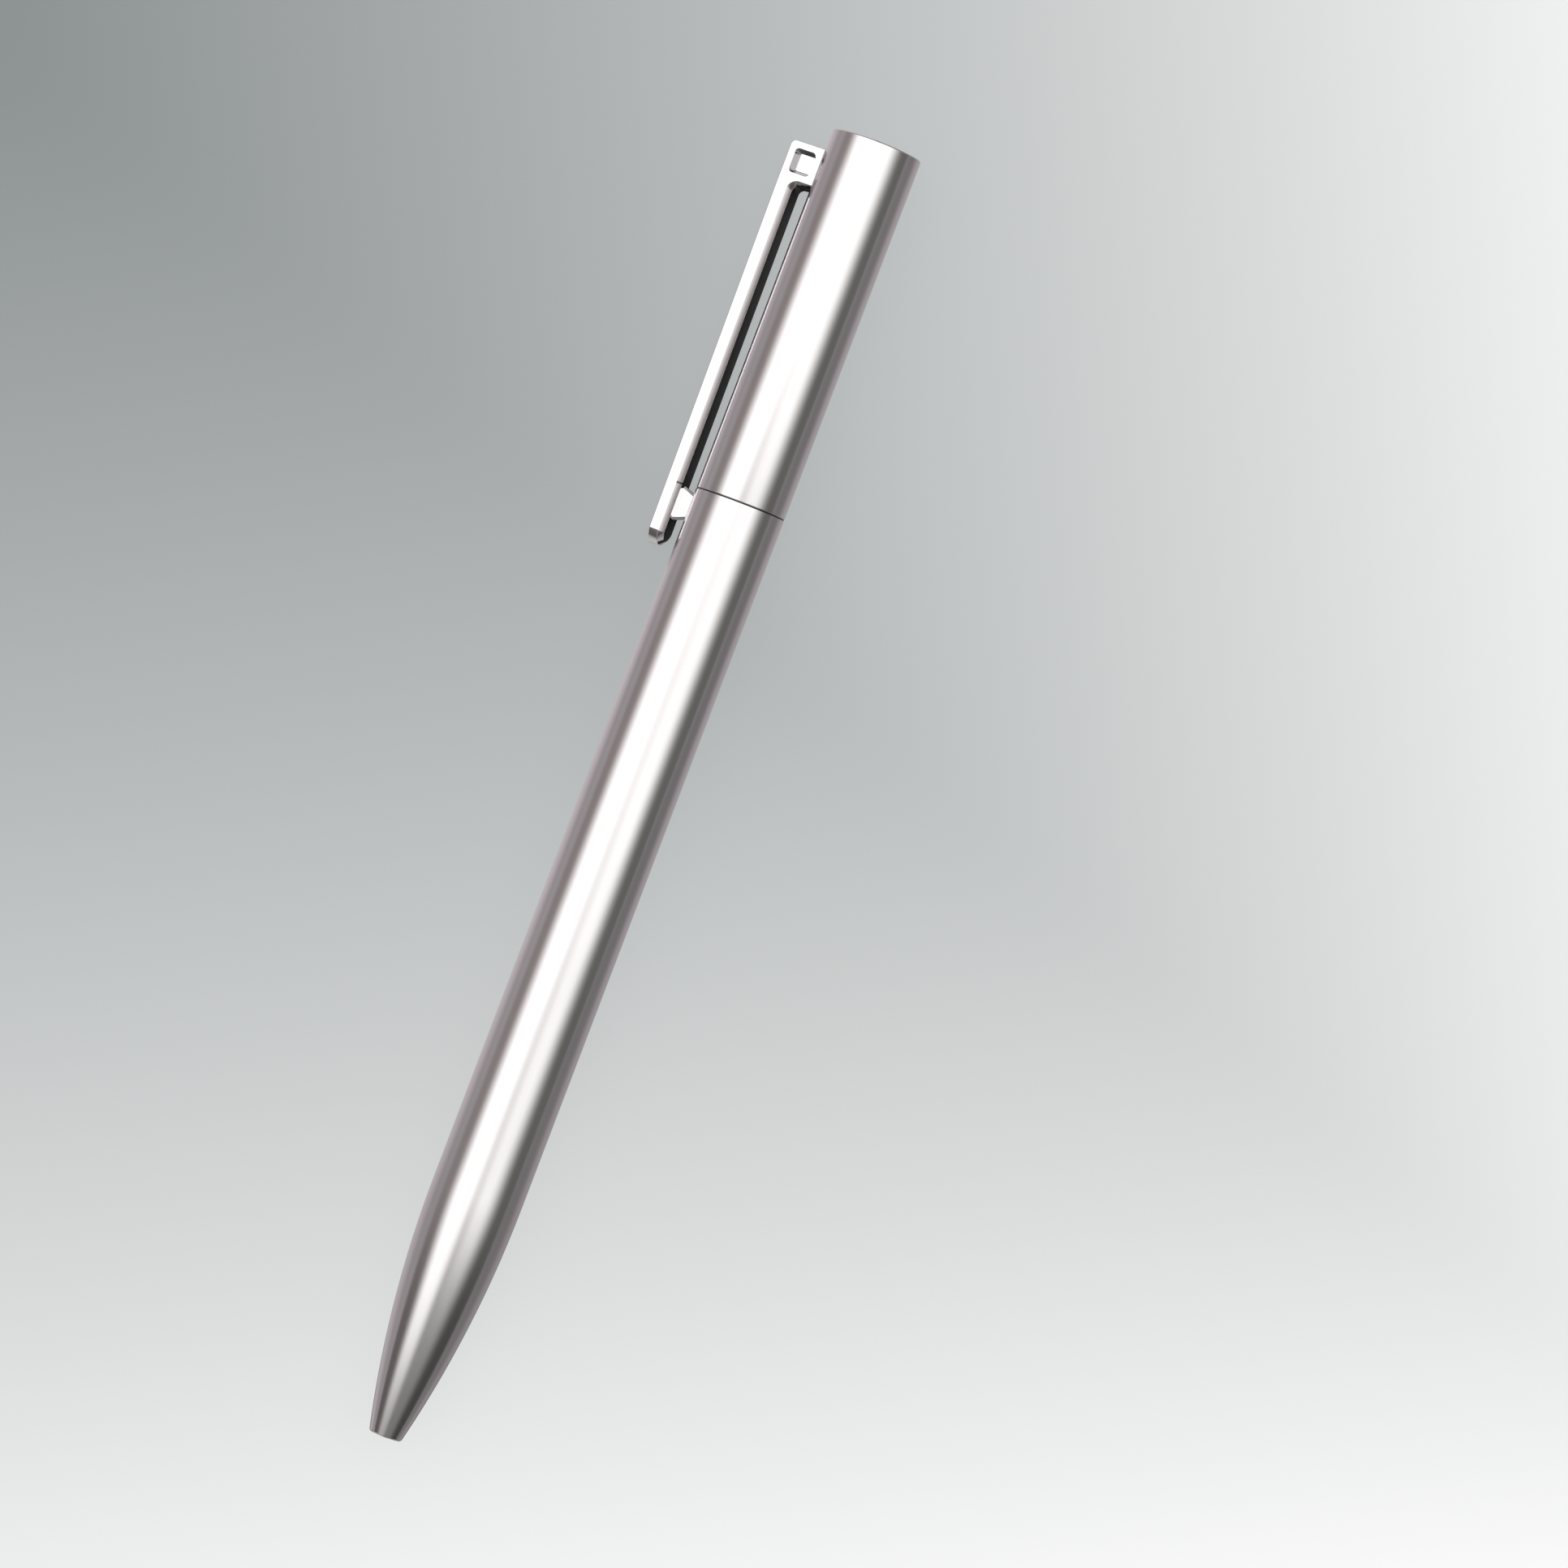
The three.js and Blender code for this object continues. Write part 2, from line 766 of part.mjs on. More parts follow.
// The square hollow in the side of the block, with sloping walls
function clipPocket() {
  const face = clipWidth / 2;
  const rise = pocketWallRun * (seatGap / pocketDepth);
  const floorCorner = pocketCorner / 2;
  return loft([
    roundedRing(pocketLength + 2 * rise, pocketHeight + 2 * rise, pocketCorner, face + seatGap),
    roundedRing(
      pocketLength - 2 * pocketWallRun,
      pocketHeight - 2 * pocketWallRun,
      floorCorner,
      face - pocketDepth,
    ),
  ]);
}

const tangFloor = barrelBore - tangPastWall;
const saddleFloor = tangFloor - seatGap - saddleThickness;
const screwStations = [blockLength / 2 - screwSpacing / 2, blockLength / 2 + screwSpacing / 2];

function clip() {
  const topRing = armRing(0, armInner, clipTop);
  const footRing = armRing(footCentre - blockStart, footInner, footTop);
  const arm = loft([footRing, topRing]);
  const foot = clipFoot().translate(footCentre - blockStart, 0, 0);
  const underBlock = turned([
    [-blockLength, 0],
    [-blockLength, barrelRadius + seatGap],
    [2 * blockLength, barrelRadius + seatGap],
    [2 * blockLength, 0],
  ], barrelSides);
  const block = cut(clipBlock(), underBlock, clipPocket());
  const tangHalf = tangLength / 2;
  const tang = box(
    [blockLength / 2 - tangHalf, blockLength / 2 + tangHalf],
    [tangFloor, barrelRadius + blockFillet],
    [-tangWidth / 2, tangWidth / 2],
  );
  const holes = screwStations.map((station) => {
    const top = tangFloor + screwReach + seatGap;
    return crossBar(station, screwRadius + pressGap, 0, top, 'y', smallSides);
  });
  return cut(join(arm, foot, block, tang, clipPad()), ...holes);
}

// The saddle fills the curve of the bore behind the clip, and takes the end of its tang.
function clipSaddle() {
  const outer = barrelBore - pressGap;
  const start = (blockLength - saddleLength) / 2;
  const bar = turned([
    [start, 0],
    [start, outer],
    [start + saddleLength, outer],
    [start + saddleLength, 0],
  ], innerSides);
  const far = barrelRadius;
  const half = saddleWidth / 2;
  const ends = [start - seatGap, start + saddleLength + seatGap];
  const below = box(ends, [-far, saddleFloor], [-far, far]);
  const left = box(ends, [-far, far], [-far, -half]);
  const right = box(ends, [-far, far], [half, far]);
  const tangRoom = box(
    [(blockLength - tangLength) / 2 - seatGap, (blockLength + tangLength) / 2 + seatGap],
    [tangFloor - seatGap, far],
    [-tangWidth / 2 - seatGap, tangWidth / 2 + seatGap],
  );
  const holes = screwStations.map((station) => {
    return crossBar(station, screwRadius + pressGap, 0, far, 'y', smallSides);
  });
  return cut(bar, below, left, right, tangRoom, ...holes);
}

// Heights count from the underside of the screw's head.
function clipScrew() {
  const length = screwReach + saddleThickness + seatGap;
  const points = [
    [0, -screwHeadHeight],
    [screwHeadRadius, -screwHeadHeight],
    [screwHeadRadius, 0],
    [screwRadius, 0],
    [screwRadius, length],
    [0, length],
  ].map(([radius, height]) => new THREE.Vector2(radius, height));
  const screw = new THREE.LatheGeometry(points, smallSides);
  const reach = screwHeadRadius + seatGap;
  const halfSlot = screwSlotWidth / 2;
  const slotTop = screwSlotDepth - screwHeadHeight;
  const slot = box([-halfSlot, halfSlot], [-screwHeadHeight - seatGap, slotTop], [-reach, reach]);
  return cut(screw, slot);
}

// Assembly
function place(group, name, geometry, material, x = 0, y = 0) {
  const mesh = new THREE.Mesh(geometry, material);
  mesh.name = name;
  mesh.position.set(x, y, 0);
  group.add(mesh);
}

function frontAssembly() {
  const group = new THREE.Group();
  const grooveMiddle = rearBarrelStart + neckLength / 2;
  place(group, 'front_barrel', frontBarrel(), satinSilver());
  place(group, 'thread_insert', threadInsert(), brass(), insertStart);
  place(group, 'threaded_ferrule', ferrule(), brass(), ferruleStart);
  place(group, 'seam_washer', seamWasher(), blackPlastic(), frontBarrelEnd + seatGap);
  place(group, 'friction_ring', frictionRing(), rubber(), grooveMiddle);
  place(group, 'guide_tube', guideTube(), whitePlastic(), guideStart);
  place(group, 'retaining_ring', retainingRing(), steel(), ringStation);
  place(group, 'return_spring', returnSpring(), steel(), springSeatStation + wireRadius + seatGap);
  return group;
}

function clipGroup() {
  const group = new THREE.Group();
  const screwSeat = saddleFloor - seatGap;
  place(group, 'clip', clip(), polishedSilver());
  place(group, 'clip_saddle', clipSaddle(), steel());
  place(group, 'clip_screw_lower', clipScrew(), steel(), screwStations[0], screwSeat);
  place(group, 'clip_screw_upper', clipScrew(), steel(), screwStations[1], screwSeat);
  group.position.x = blockStart;
  return group;
}

function rearAssembly() {
  const group = new THREE.Group();
  const endPlugStart = penLength - endPlugDisc - endPlugSkirt;
  place(group, 'rear_barrel', rearBarrel(), satinSilver(), rearBarrelStart);
  place(group, 'end_plug', endPlug(), satinSilver(), endPlugStart);
  place(group, 'cam_sleeve', camSleeve(), brass(), camStart);
  group.add(clipGroup());
  return group;
}

function refillAssembly() {
  const group = new THREE.Group();
  place(group, 'writing_ball', writingBall(), steel(), ballRadius);
  place(group, 'nib_point', nibPoint(), brass());
  place(group, 'refill_tube', refillTube(), steel());
  place(group, 'ink_column', inkColumn(), ink());
  place(group, 'ink_follower', inkFollower(), grease(), inkEnd + seatGap);
  place(group, 'refill_plug', refillPlug(), greyPlastic(), plugStart);
  place(group, 'drive_plunger', drivePlunger(), whitePlastic(), refillLength + seatGap);
  place(group, 'cam_pin', camPin(), steel(), pinStation - tipRecess);
  group.position.x = tipRecess;
  return group;
}

const pen = new THREE.Group();
pen.add(frontAssembly(), rearAssembly(), refillAssembly());
pen.rotation.x = -restRoll;
pen.position.set(-penLength / 2, (barrelRadius - clipSide) / 2, barrelRadius);

const model = new THREE.Group();
model.add(pen);

export default model;
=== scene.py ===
# %% [markdown]
# # A twist ballpoint pen
# A slim metal pen lies on its barrel and on the edge of its clip. Half a turn of the cap end pushes
# the refill out. The solid model is loaded as a fixed frame: it says where each part sits and how
# it moves. This scene gives those parts their finished surfaces, one cell at a time.

import json
import math

import bmesh
import bpy
from mathutils import Matrix, Vector

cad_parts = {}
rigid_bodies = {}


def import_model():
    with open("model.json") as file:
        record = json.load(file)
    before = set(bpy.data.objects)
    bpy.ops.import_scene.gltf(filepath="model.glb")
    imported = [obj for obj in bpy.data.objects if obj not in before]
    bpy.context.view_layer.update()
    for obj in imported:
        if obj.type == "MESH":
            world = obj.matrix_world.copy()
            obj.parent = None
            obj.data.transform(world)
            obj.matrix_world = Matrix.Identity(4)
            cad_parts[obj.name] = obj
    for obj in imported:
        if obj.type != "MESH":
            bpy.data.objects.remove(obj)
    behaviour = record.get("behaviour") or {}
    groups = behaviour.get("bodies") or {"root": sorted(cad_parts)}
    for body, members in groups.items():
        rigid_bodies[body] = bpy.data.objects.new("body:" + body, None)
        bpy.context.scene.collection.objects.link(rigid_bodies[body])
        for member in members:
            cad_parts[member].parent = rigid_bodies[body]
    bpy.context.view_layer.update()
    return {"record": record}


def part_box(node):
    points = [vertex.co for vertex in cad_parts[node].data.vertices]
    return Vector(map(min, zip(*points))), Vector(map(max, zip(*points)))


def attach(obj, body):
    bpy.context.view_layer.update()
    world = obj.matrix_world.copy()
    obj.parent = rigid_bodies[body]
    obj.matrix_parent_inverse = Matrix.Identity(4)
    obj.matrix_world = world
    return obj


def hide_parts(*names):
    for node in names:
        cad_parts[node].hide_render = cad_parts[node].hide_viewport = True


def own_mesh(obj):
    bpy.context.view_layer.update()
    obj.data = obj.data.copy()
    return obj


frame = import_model()

# %% [markdown]
# ## Where the pen lies
# Every shape below is drawn in the pen's own axes, in millimetres: X is the distance from the
# writing end, Y points at the clip and Z is across. One matrix turns that drawing into the frame's
# metres. It comes from the solid parts, so the scene can't drift away from them. The pen is rolled
# until the lower edge of its clip touches the table.

# %% The pen's axes
MM = 0.001
front_low, front_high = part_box("front_barrel")
rear_low, rear_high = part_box("rear_barrel")
BARREL_RADIUS = (rear_high.z - rear_low.z) / 2 / MM
AXIS_Y = (rear_high.y + rear_low.y) / 2
AXIS_Z = (rear_high.z + rear_low.z) / 2
PEN_LENGTH = (rear_high.x - front_low.x) / MM
SEAM_FRONT = (front_high.x - front_low.x) / MM
SEAM_LIP = 0.08
SEAM_REAR = (rear_low.x - front_low.x) / MM - SEAM_LIP

CLIP_WIDTH = 3.2
CLIP_TOP = BARREL_RADIUS + 3.705
CLIP_CORNER = math.hypot(CLIP_TOP, CLIP_WIDTH / 2)
ROLL = math.asin(BARREL_RADIUS / CLIP_CORNER) - math.atan2(CLIP_WIDTH / 2, CLIP_TOP)
PLACE = Matrix.Translation((front_low.x, AXIS_Y, AXIS_Z))
PEN = PLACE @ Matrix.Rotation(-ROLL, 4, "X") @ Matrix.Scale(MM, 4)
print(f"pen {PEN_LENGTH:.1f} x {2 * BARREL_RADIUS:.2f} mm, rolled {math.degrees(ROLL):.1f} degrees")

# %% [markdown]
# ## Turning a profile
# Most of a pen is turned: a profile of (station, radius) points spun about its axis. A real tool
# never leaves a perfectly sharp corner, and a sharp corner catches no light in a render, so each
# corner of a profile first gets a small arc.

# %% Helpers for turned parts
SHARP_TURN = 0.35
ARC_STEPS = 3
MOST_OF_EDGE = 0.45


def softened(rows, radius, closed=False):
    """Gives the sharp corners of a profile a small round."""
    rows = [Vector(row) for row in rows]
    last = len(rows) - 1
    smooth = []
    for i, corner in enumerate(rows):
        if not closed and i in (0, last):
            smooth.append(corner)
            continue
        before = rows[i - 1] - corner
        after = rows[(i + 1) % len(rows)] - corner
        turn = math.pi - before.angle(after)
        if turn < SHARP_TURN:
            smooth.append(corner)
            continue
        shorter = min(before.length, after.length)
        back = min(radius * math.tan(turn / 2), MOST_OF_EDGE * shorter)
        start = corner + before.normalized() * back
        end = corner + after.normalized() * back
        for step in range(ARC_STEPS + 1):
            t = step / ARC_STEPS
            smooth.append(start.lerp(corner, t).lerp(corner.lerp(end, t), t))
    return [tuple(point) for point in smooth]


def spun(bm, rows, sides, closed=False):
    """Adds the faces of a profile spun about X to a bmesh."""
    rings = []
    for station, radius in rows:
        count = 1 if radius < 1e-6 else sides
        ring = []
        for k in range(count):
            angle = 2 * math.pi * k / sides
            ring.append(bm.verts.new((station, radius * math.cos(angle), radius * math.sin(angle))))
        rings.append(ring)
    pairs = list(zip(rings, rings[1:]))
    if closed:
        pairs.append((rings[-1], rings[0]))
    for low, high in pairs:
        for k in range(sides):
            n = k + 1
            corners = [low[k % len(low)], low[n % len(low)], high[n % len(high)], high[k % len(high)]]
            corners = list(dict.fromkeys(corners))
            if len(corners) > 2:
                bm.faces.new(corners)


def placed(name, data):
    """Adds an object with this mesh or camera to the scene."""
    made = bpy.data.objects.new(name, data)
    bpy.context.scene.collection.objects.link(made)
    return made


def piece(name, bm, smooth_angle=30):
    """Turns a closed bmesh into an object that sits at the origin, with its faces outwards."""
    bmesh.ops.remove_doubles(bm, verts=bm.verts, dist=1e-5)
    bmesh.ops.recalc_face_normals(bm, faces=bm.faces)
    open_edges = sum(1 for edge in bm.edges if len(edge.link_faces) != 2)
    mesh = bpy.data.meshes.new(name)
    bm.to_mesh(mesh)
    bm.free()
    mesh.transform(PEN)
    mesh.polygons.foreach_set("use_smooth", [True] * len(mesh.polygons))
    mesh.set_sharp_from_angle(angle=math.radians(smooth_angle))
    print(f"{name}: {len(mesh.polygons)} faces, {open_edges} open edges")
    return placed(name, mesh)


def weigh_normals(made):
    """Lets the large faces set the shading, so that flat faces next to a round stay flat."""
    modifier = made.modifiers.new("large faces first", "WEIGHTED_NORMAL")
    modifier.keep_sharp = True
    modifier.weight = 90
    graph = bpy.context.evaluated_depsgraph_get()
    mesh = bpy.data.meshes.new_from_object(made.evaluated_get(graph))
    made.modifiers.remove(modifier)
    made.data = mesh


def turned(name, rows, sides, round_corners=0.06):
    """A ring or a tube from the whole outline of its section."""
    bm = bmesh.new()
    spun(bm, softened(rows, round_corners, closed=True), sides, closed=True)
    return piece(name, bm)


def dress(made, body, slot, node):
    """Gives a piece the finish of its slot and puts it in its node's place in the frame."""
    made.data.materials.clear()
    made.data.materials.append(FINISHES[slot])
    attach(made, body)
    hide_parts(node)


# %% [markdown]
# ## Finishes
# Plated metal is never one even grey. The plating clouds a little, polishing and handling leave
# faint lines along the barrel, and the satin ground under it scatters each reflection. All of these
# are made with noise on Object coordinates, so their grain has a real size in millimetres and stays
# with the pen when it turns. Where the satin plating is seen at a slant, a little mauve is painted
# into its colour: a painted reflection.

# %% Helpers for materials
def shader_tree(name):
    material = bpy.data.materials.new(name)
    material.use_nodes = True
    tree = material.node_tree
    tree.nodes.clear()
    output = tree.nodes.new("ShaderNodeOutputMaterial")
    shader = tree.nodes.new("ShaderNodeBsdfPrincipled")
    tree.links.new(shader.outputs["BSDF"], output.inputs["Surface"])
    return material, tree, shader


def noise(tree, grain, detail=2.0, along=1.0):
    """Noise whose grain is a size in millimetres, stretched along the pen by a factor."""
    place = tree.nodes.new("ShaderNodeTexCoord")
    stretch = tree.nodes.new("ShaderNodeMapping")
    stretch.inputs["Scale"].default_value = (1 / along, 1, 1)
    texture = tree.nodes.new("ShaderNodeTexNoise")
    texture.inputs["Scale"].default_value = 1 / (grain * MM)
    texture.inputs["Detail"].default_value = detail
    tree.links.new(place.outputs["Object"], stretch.inputs["Vector"])
    tree.links.new(stretch.outputs["Vector"], texture.inputs["Vector"])
    return texture.outputs["Fac"]


def ranged(tree, value, low, high, start=0.3, end=0.7):
    node = tree.nodes.new("ShaderNodeMapRange")
    node.inputs["From Min"].default_value = start
    node.inputs["From Max"].default_value = end
    node.inputs["To Min"].default_value = low
    node.inputs["To Max"].default_value = high
    tree.links.new(value, node.inputs["Value"])
    return node.outputs["Result"]


def blended(tree, factor, first, second):
    node = tree.nodes.new("ShaderNodeMix")
    node.data_type = "RGBA"
    tree.links.new(factor, node.inputs["Factor"])
    for colour, socket in ((first, "A"), (second, "B")):
        target = [s for s in node.inputs if s.name == socket and s.type == "RGBA"][0]
        if isinstance(colour, tuple):
            target.default_value = (*colour, 1)
        else:
            tree.links.new(colour, target)
    return [s for s in node.outputs if s.type == "RGBA"][0]


def bumped(tree, shader, height, depth, under=None):
    node = tree.nodes.new("ShaderNodeBump")
    node.inputs["Distance"].default_value = depth * MM
    tree.links.new(height, node.inputs["Height"])
    if under is not None:
        tree.links.new(under, node.inputs["Normal"])
    tree.links.new(node.outputs["Normal"], shader.inputs["Normal"])
    return node.outputs["Normal"]


def math_node(tree, operation, *values):
    """A sum in a material's or a geometry's tree, of numbers and of other nodes' results."""
    node = tree.nodes.new("ShaderNodeMath")
    node.operation = operation
    for socket, value in zip(node.inputs, values):
        if isinstance(value, (int, float)):
            socket.default_value = value
        else:
            tree.links.new(value, socket)
    return node.outputs[0]


def metal(name, colour, dark, rough, grain, grain_depth, line_depth, rim=None, pocket_shade=None):
    """Plated or drawn metal: clouding, a satin grain, faint lines along the pen, a rim's tint that is a
    painted reflection at a slant, and painted shade on the faces marked as the walls of a pocket."""
    material, tree, shader = shader_tree(name)
    shader.inputs["Metallic"].default_value = 1.0
    clouds = noise(tree, 9.0, detail=4.0, along=3.0)
    lines = noise(tree, 0.12, along=60.0)
    speckle = noise(tree, grain)
    tint = blended(tree, ranged(tree, clouds, 0.0, 1.0), colour, dark)
    # Painted reflection: a mauve tint in the colour where the metal is seen at a slant.
    if rim:
        facing = tree.nodes.new("ShaderNodeLayerWeight").outputs["Facing"]
        tint = blended(tree, ranged(tree, facing, 0.0, 0.8, 0.25, 0.5), tint, rim)
    # Painted shade: a darker colour on the faces marked as the pocket's walls.
    if pocket_shade:
        marked = tree.nodes.new("ShaderNodeAttribute")
        marked.attribute_name = POCKET_SHADE
        tint = blended(tree, marked.outputs["Fac"], tint, pocket_shade)
    tree.links.new(tint, shader.inputs["Base Color"])
    spread = ranged(tree, speckle, rough[0], rough[1])
    streak = ranged(tree, lines, -0.02, 0.02)
    tree.links.new(math_node(tree, "ADD", spread, streak), shader.inputs["Roughness"])
    under = bumped(tree, shader, lines, line_depth)
    bumped(tree, shader, speckle, grain_depth, under=under)
    return material


def plastic(name, colour, dark, rough):
    """Moulded plastic: slight mottling and the fine texture of the mould."""
    material, tree, shader = shader_tree(name)
    clouds = noise(tree, 3.0, detail=3.0)
    speckle = noise(tree, 0.08)
    tint = blended(tree, ranged(tree, clouds, 0.0, 1.0), colour, dark)
    tree.links.new(tint, shader.inputs["Base Color"])
    tree.links.new(ranged(tree, speckle, rough[0], rough[1]), shader.inputs["Roughness"])
    bumped(tree, shader, speckle, 0.004)
    return material


# %% Finishes of the pen: colour, darker colour, roughness, grain and the depths of grain and lines
POCKET_SHADE = "pocket_shade"
FINISHES = {
    # The satin silver's rim tint is a painted reflection, shown where the metal turns away.
    "satin_silver": metal(
        "satin_silver", (0.80, 0.785, 0.785), (0.75, 0.735, 0.735), (0.15, 0.22), 0.07, 0.0012,
        0.0008, rim=(0.85, 0.775, 0.805)),
    # The polished silver's dark grey on the pocket's walls is painted shade.
    "polished_silver": metal(
        "polished_silver", (0.88, 0.88, 0.88), (0.83, 0.83, 0.83), (0.07, 0.12), 0.3, 0.0006,
        0.0003, pocket_shade=(0.25, 0.25, 0.25)),
}
METALS = {
    "plain_steel": ((0.62, 0.63, 0.64), (0.50, 0.50, 0.51), (0.22, 0.34), 0.1, 0.002, 0.001),
    "refill_steel": ((0.66, 0.66, 0.67), (0.58, 0.58, 0.59), (0.20, 0.30), 0.15, 0.001, 0.002),
    "spring_steel": ((0.50, 0.51, 0.52), (0.42, 0.42, 0.43), (0.24, 0.34), 0.06, 0.001, 0.001),
    "turned_brass": ((0.72, 0.58, 0.30), (0.60, 0.45, 0.20), (0.20, 0.32), 0.12, 0.001, 0.001),
    "hard_ball": ((0.36, 0.37, 0.39), (0.30, 0.31, 0.33), (0.10, 0.16), 0.05, 0.0003, 0.0001),
}
PLASTICS = {
    "black_plastic": ((0.020, 0.020, 0.022), (0.030, 0.030, 0.032), (0.42, 0.55)),
    "white_plastic": ((0.78, 0.77, 0.74), (0.72, 0.71, 0.67), (0.35, 0.48)),
    "grey_plastic": ((0.20, 0.21, 0.23), (0.16, 0.17, 0.19), (0.38, 0.50)),
    "black_rubber": ((0.020, 0.020, 0.020), (0.035, 0.034, 0.033), (0.65, 0.80)),
    "blue_ink": ((0.010, 0.020, 0.120), (0.006, 0.012, 0.080), (0.12, 0.22)),
    "grease": ((0.60, 0.55, 0.30), (0.50, 0.45, 0.22), (0.15, 0.28)),
}
for maker, rows in ((metal, METALS), (plastic, PLASTICS)):
    for slot, values in rows.items():
        FINISHES[slot] = maker(slot, *values)
print("finishes:", ", ".join(FINISHES))

# %% [markdown]
# ## Front barrel
# The tube tapers to the writing end along one long arc that meets the straight part without a
# break. That is a rule, so the outside is made by Geometry Nodes: a flat grid is rolled up, and each
# ring takes its radius from the arc. The bore behind it is turned and welded to both rims.

# %% A node tree that rolls a grid into the barrel's outside
NOSE_LENGTH = 26.8
TIP_RADIUS = 1.75
EDGE = 0.12
SEAM_EDGE = 0.05
BORE = 4.25
REFILL_BORE = 3.05
SPRING_BORE = 2.15
NOSE_HOLE = 1.25
SPRING_SEAT = 5.5
SPRING_ROOM = 5.75


class NodeGroup:
    """A geometry node tree with named inputs, whose nodes are added by short calls."""

    def __init__(self, name, lengths, counts):
        self.tree = bpy.data.node_groups.new(name, "GeometryNodeTree")
        self.ids = {}
        for labels, kind in ((lengths, "NodeSocketFloat"), (counts, "NodeSocketInt")):
            for label in labels:
                socket = self.tree.interface.new_socket(label, in_out="INPUT", socket_type=kind)
                self.ids[label] = socket.identifier
        self.tree.interface.new_socket("Geometry", in_out="OUTPUT", socket_type="NodeSocketGeometry")
        self.entry = self.tree.nodes.new("NodeGroupInput")
        self.exit = self.tree.nodes.new("NodeGroupOutput")

    def node(self, kind):
        return self.tree.nodes.new(kind)

    def link(self, source, target):
        self.tree.links.new(source, target)

    def values(self):
        return [self.entry.outputs[label] for label in self.ids]

    def sum(self, operation, *terms):
        return math_node(self.tree, operation, *terms)

    def point(self, x, y, z):
        made = self.node("ShaderNodeCombineXYZ")
        for socket, term in zip(made.inputs, (x, y, z)):
            self.link(term, socket)
        return made.outputs[0]

    def end_with(self, geometry, material):
        realize = self.node("GeometryNodeRealizeInstances")
        paint = self.node("GeometryNodeSetMaterial")
        paint.inputs["Material"].default_value = material
        self.link(geometry, realize.inputs["Geometry"])
        self.link(realize.outputs["Geometry"], paint.inputs["Geometry"])
        self.link(paint.outputs["Geometry"], self.exit.inputs["Geometry"])

    def mesh(self, name, **sizes):
        """Runs the tree with these sizes and returns its result as a plain mesh."""
        blank = placed(name, bpy.data.meshes.new(name))
        modifier = blank.modifiers.new("nodes", "NODES")
        modifier.node_group = self.tree
        for label, size in sizes.items():
            modifier[self.ids[label.replace("_", " ")]] = size
        graph = bpy.context.evaluated_depsgraph_get()
        result = bpy.data.meshes.new_from_object(blank.evaluated_get(graph))
        bpy.data.objects.remove(blank)
        return result


def rolled_grid(group, length, rings, sides):
    """A grid from 0 to length by 0 to a full turn, with each point's station and angle."""
    grid = group.node("GeometryNodeMeshGrid")
    grid.inputs["Size X"].default_value = 1.0
    grid.inputs["Size Y"].default_value = 1.0
    group.link(rings, grid.inputs["Vertices X"])
    group.link(group.sum("ADD", sides, 1), grid.inputs["Vertices Y"])
    where = group.node("GeometryNodeInputPosition")
    parts = group.node("ShaderNodeSeparateXYZ")
    group.link(where.outputs["Position"], parts.inputs[0])
    along = group.sum("ADD", parts.outputs[0], 0.5)
    station = group.sum("MULTIPLY", along, length)
    angle = group.sum("MULTIPLY", group.sum("ADD", parts.outputs[1], 0.5), 2 * math.pi)
    return grid.outputs["Mesh"], station, angle


def rolled_up(group, mesh, station, radius, angle):
    """Moves the grid's points on to rings of these radii and welds the seam."""
    y = group.sum("MULTIPLY", radius, group.sum("COSINE", angle))
    z = group.sum("MULTIPLY", radius, group.sum("SINE", angle))
    move = group.node("GeometryNodeSetPosition")
    group.link(mesh, move.inputs["Geometry"])
    group.link(group.point(station, y, z), move.inputs["Position"])
    weld = group.node("GeometryNodeMergeByDistance")
    weld.inputs["Distance"].default_value = 1e-4
    group.link(move.outputs["Geometry"], weld.inputs["Geometry"])
    return weld.outputs["Geometry"]


nose = NodeGroup("barrel outside", ("Length", "Nose length", "Tip radius", "Barrel radius"),
                 ("Rings", "Sides"))
length, nose_length, tip_radius, barrel_radius, rings, sides = nose.values()
sheet, station, angle = rolled_grid(nose, length, rings, sides)
drop = nose.sum("SUBTRACT", barrel_radius, tip_radius)
span_squared = nose.sum("POWER", nose_length, 2)
arc = nose.sum("DIVIDE", nose.sum("ADD", span_squared, nose.sum("POWER", drop, 2)),
               nose.sum("MULTIPLY", drop, 2))
back = nose.sum("MAXIMUM", nose.sum("SUBTRACT", nose_length, station), 0)
rise = nose.sum("SQRT", nose.sum("SUBTRACT", nose.sum("POWER", arc, 2), nose.sum("POWER", back, 2)))
radius = nose.sum("ADD", nose.sum("SUBTRACT", barrel_radius, arc), rise)
nose.end_with(rolled_up(nose, sheet, station, radius, angle), FINISHES["satin_silver"])


def nose_radius(at):
    """The same arc in plain numbers, for the rows that meet the skin."""
    fall = BARREL_RADIUS - TIP_RADIUS
    long_radius = (NOSE_LENGTH ** 2 + fall ** 2) / (2 * fall)
    short = max(NOSE_LENGTH - at, 0)
    return BARREL_RADIUS - long_radius + math.sqrt(long_radius ** 2 - short ** 2)


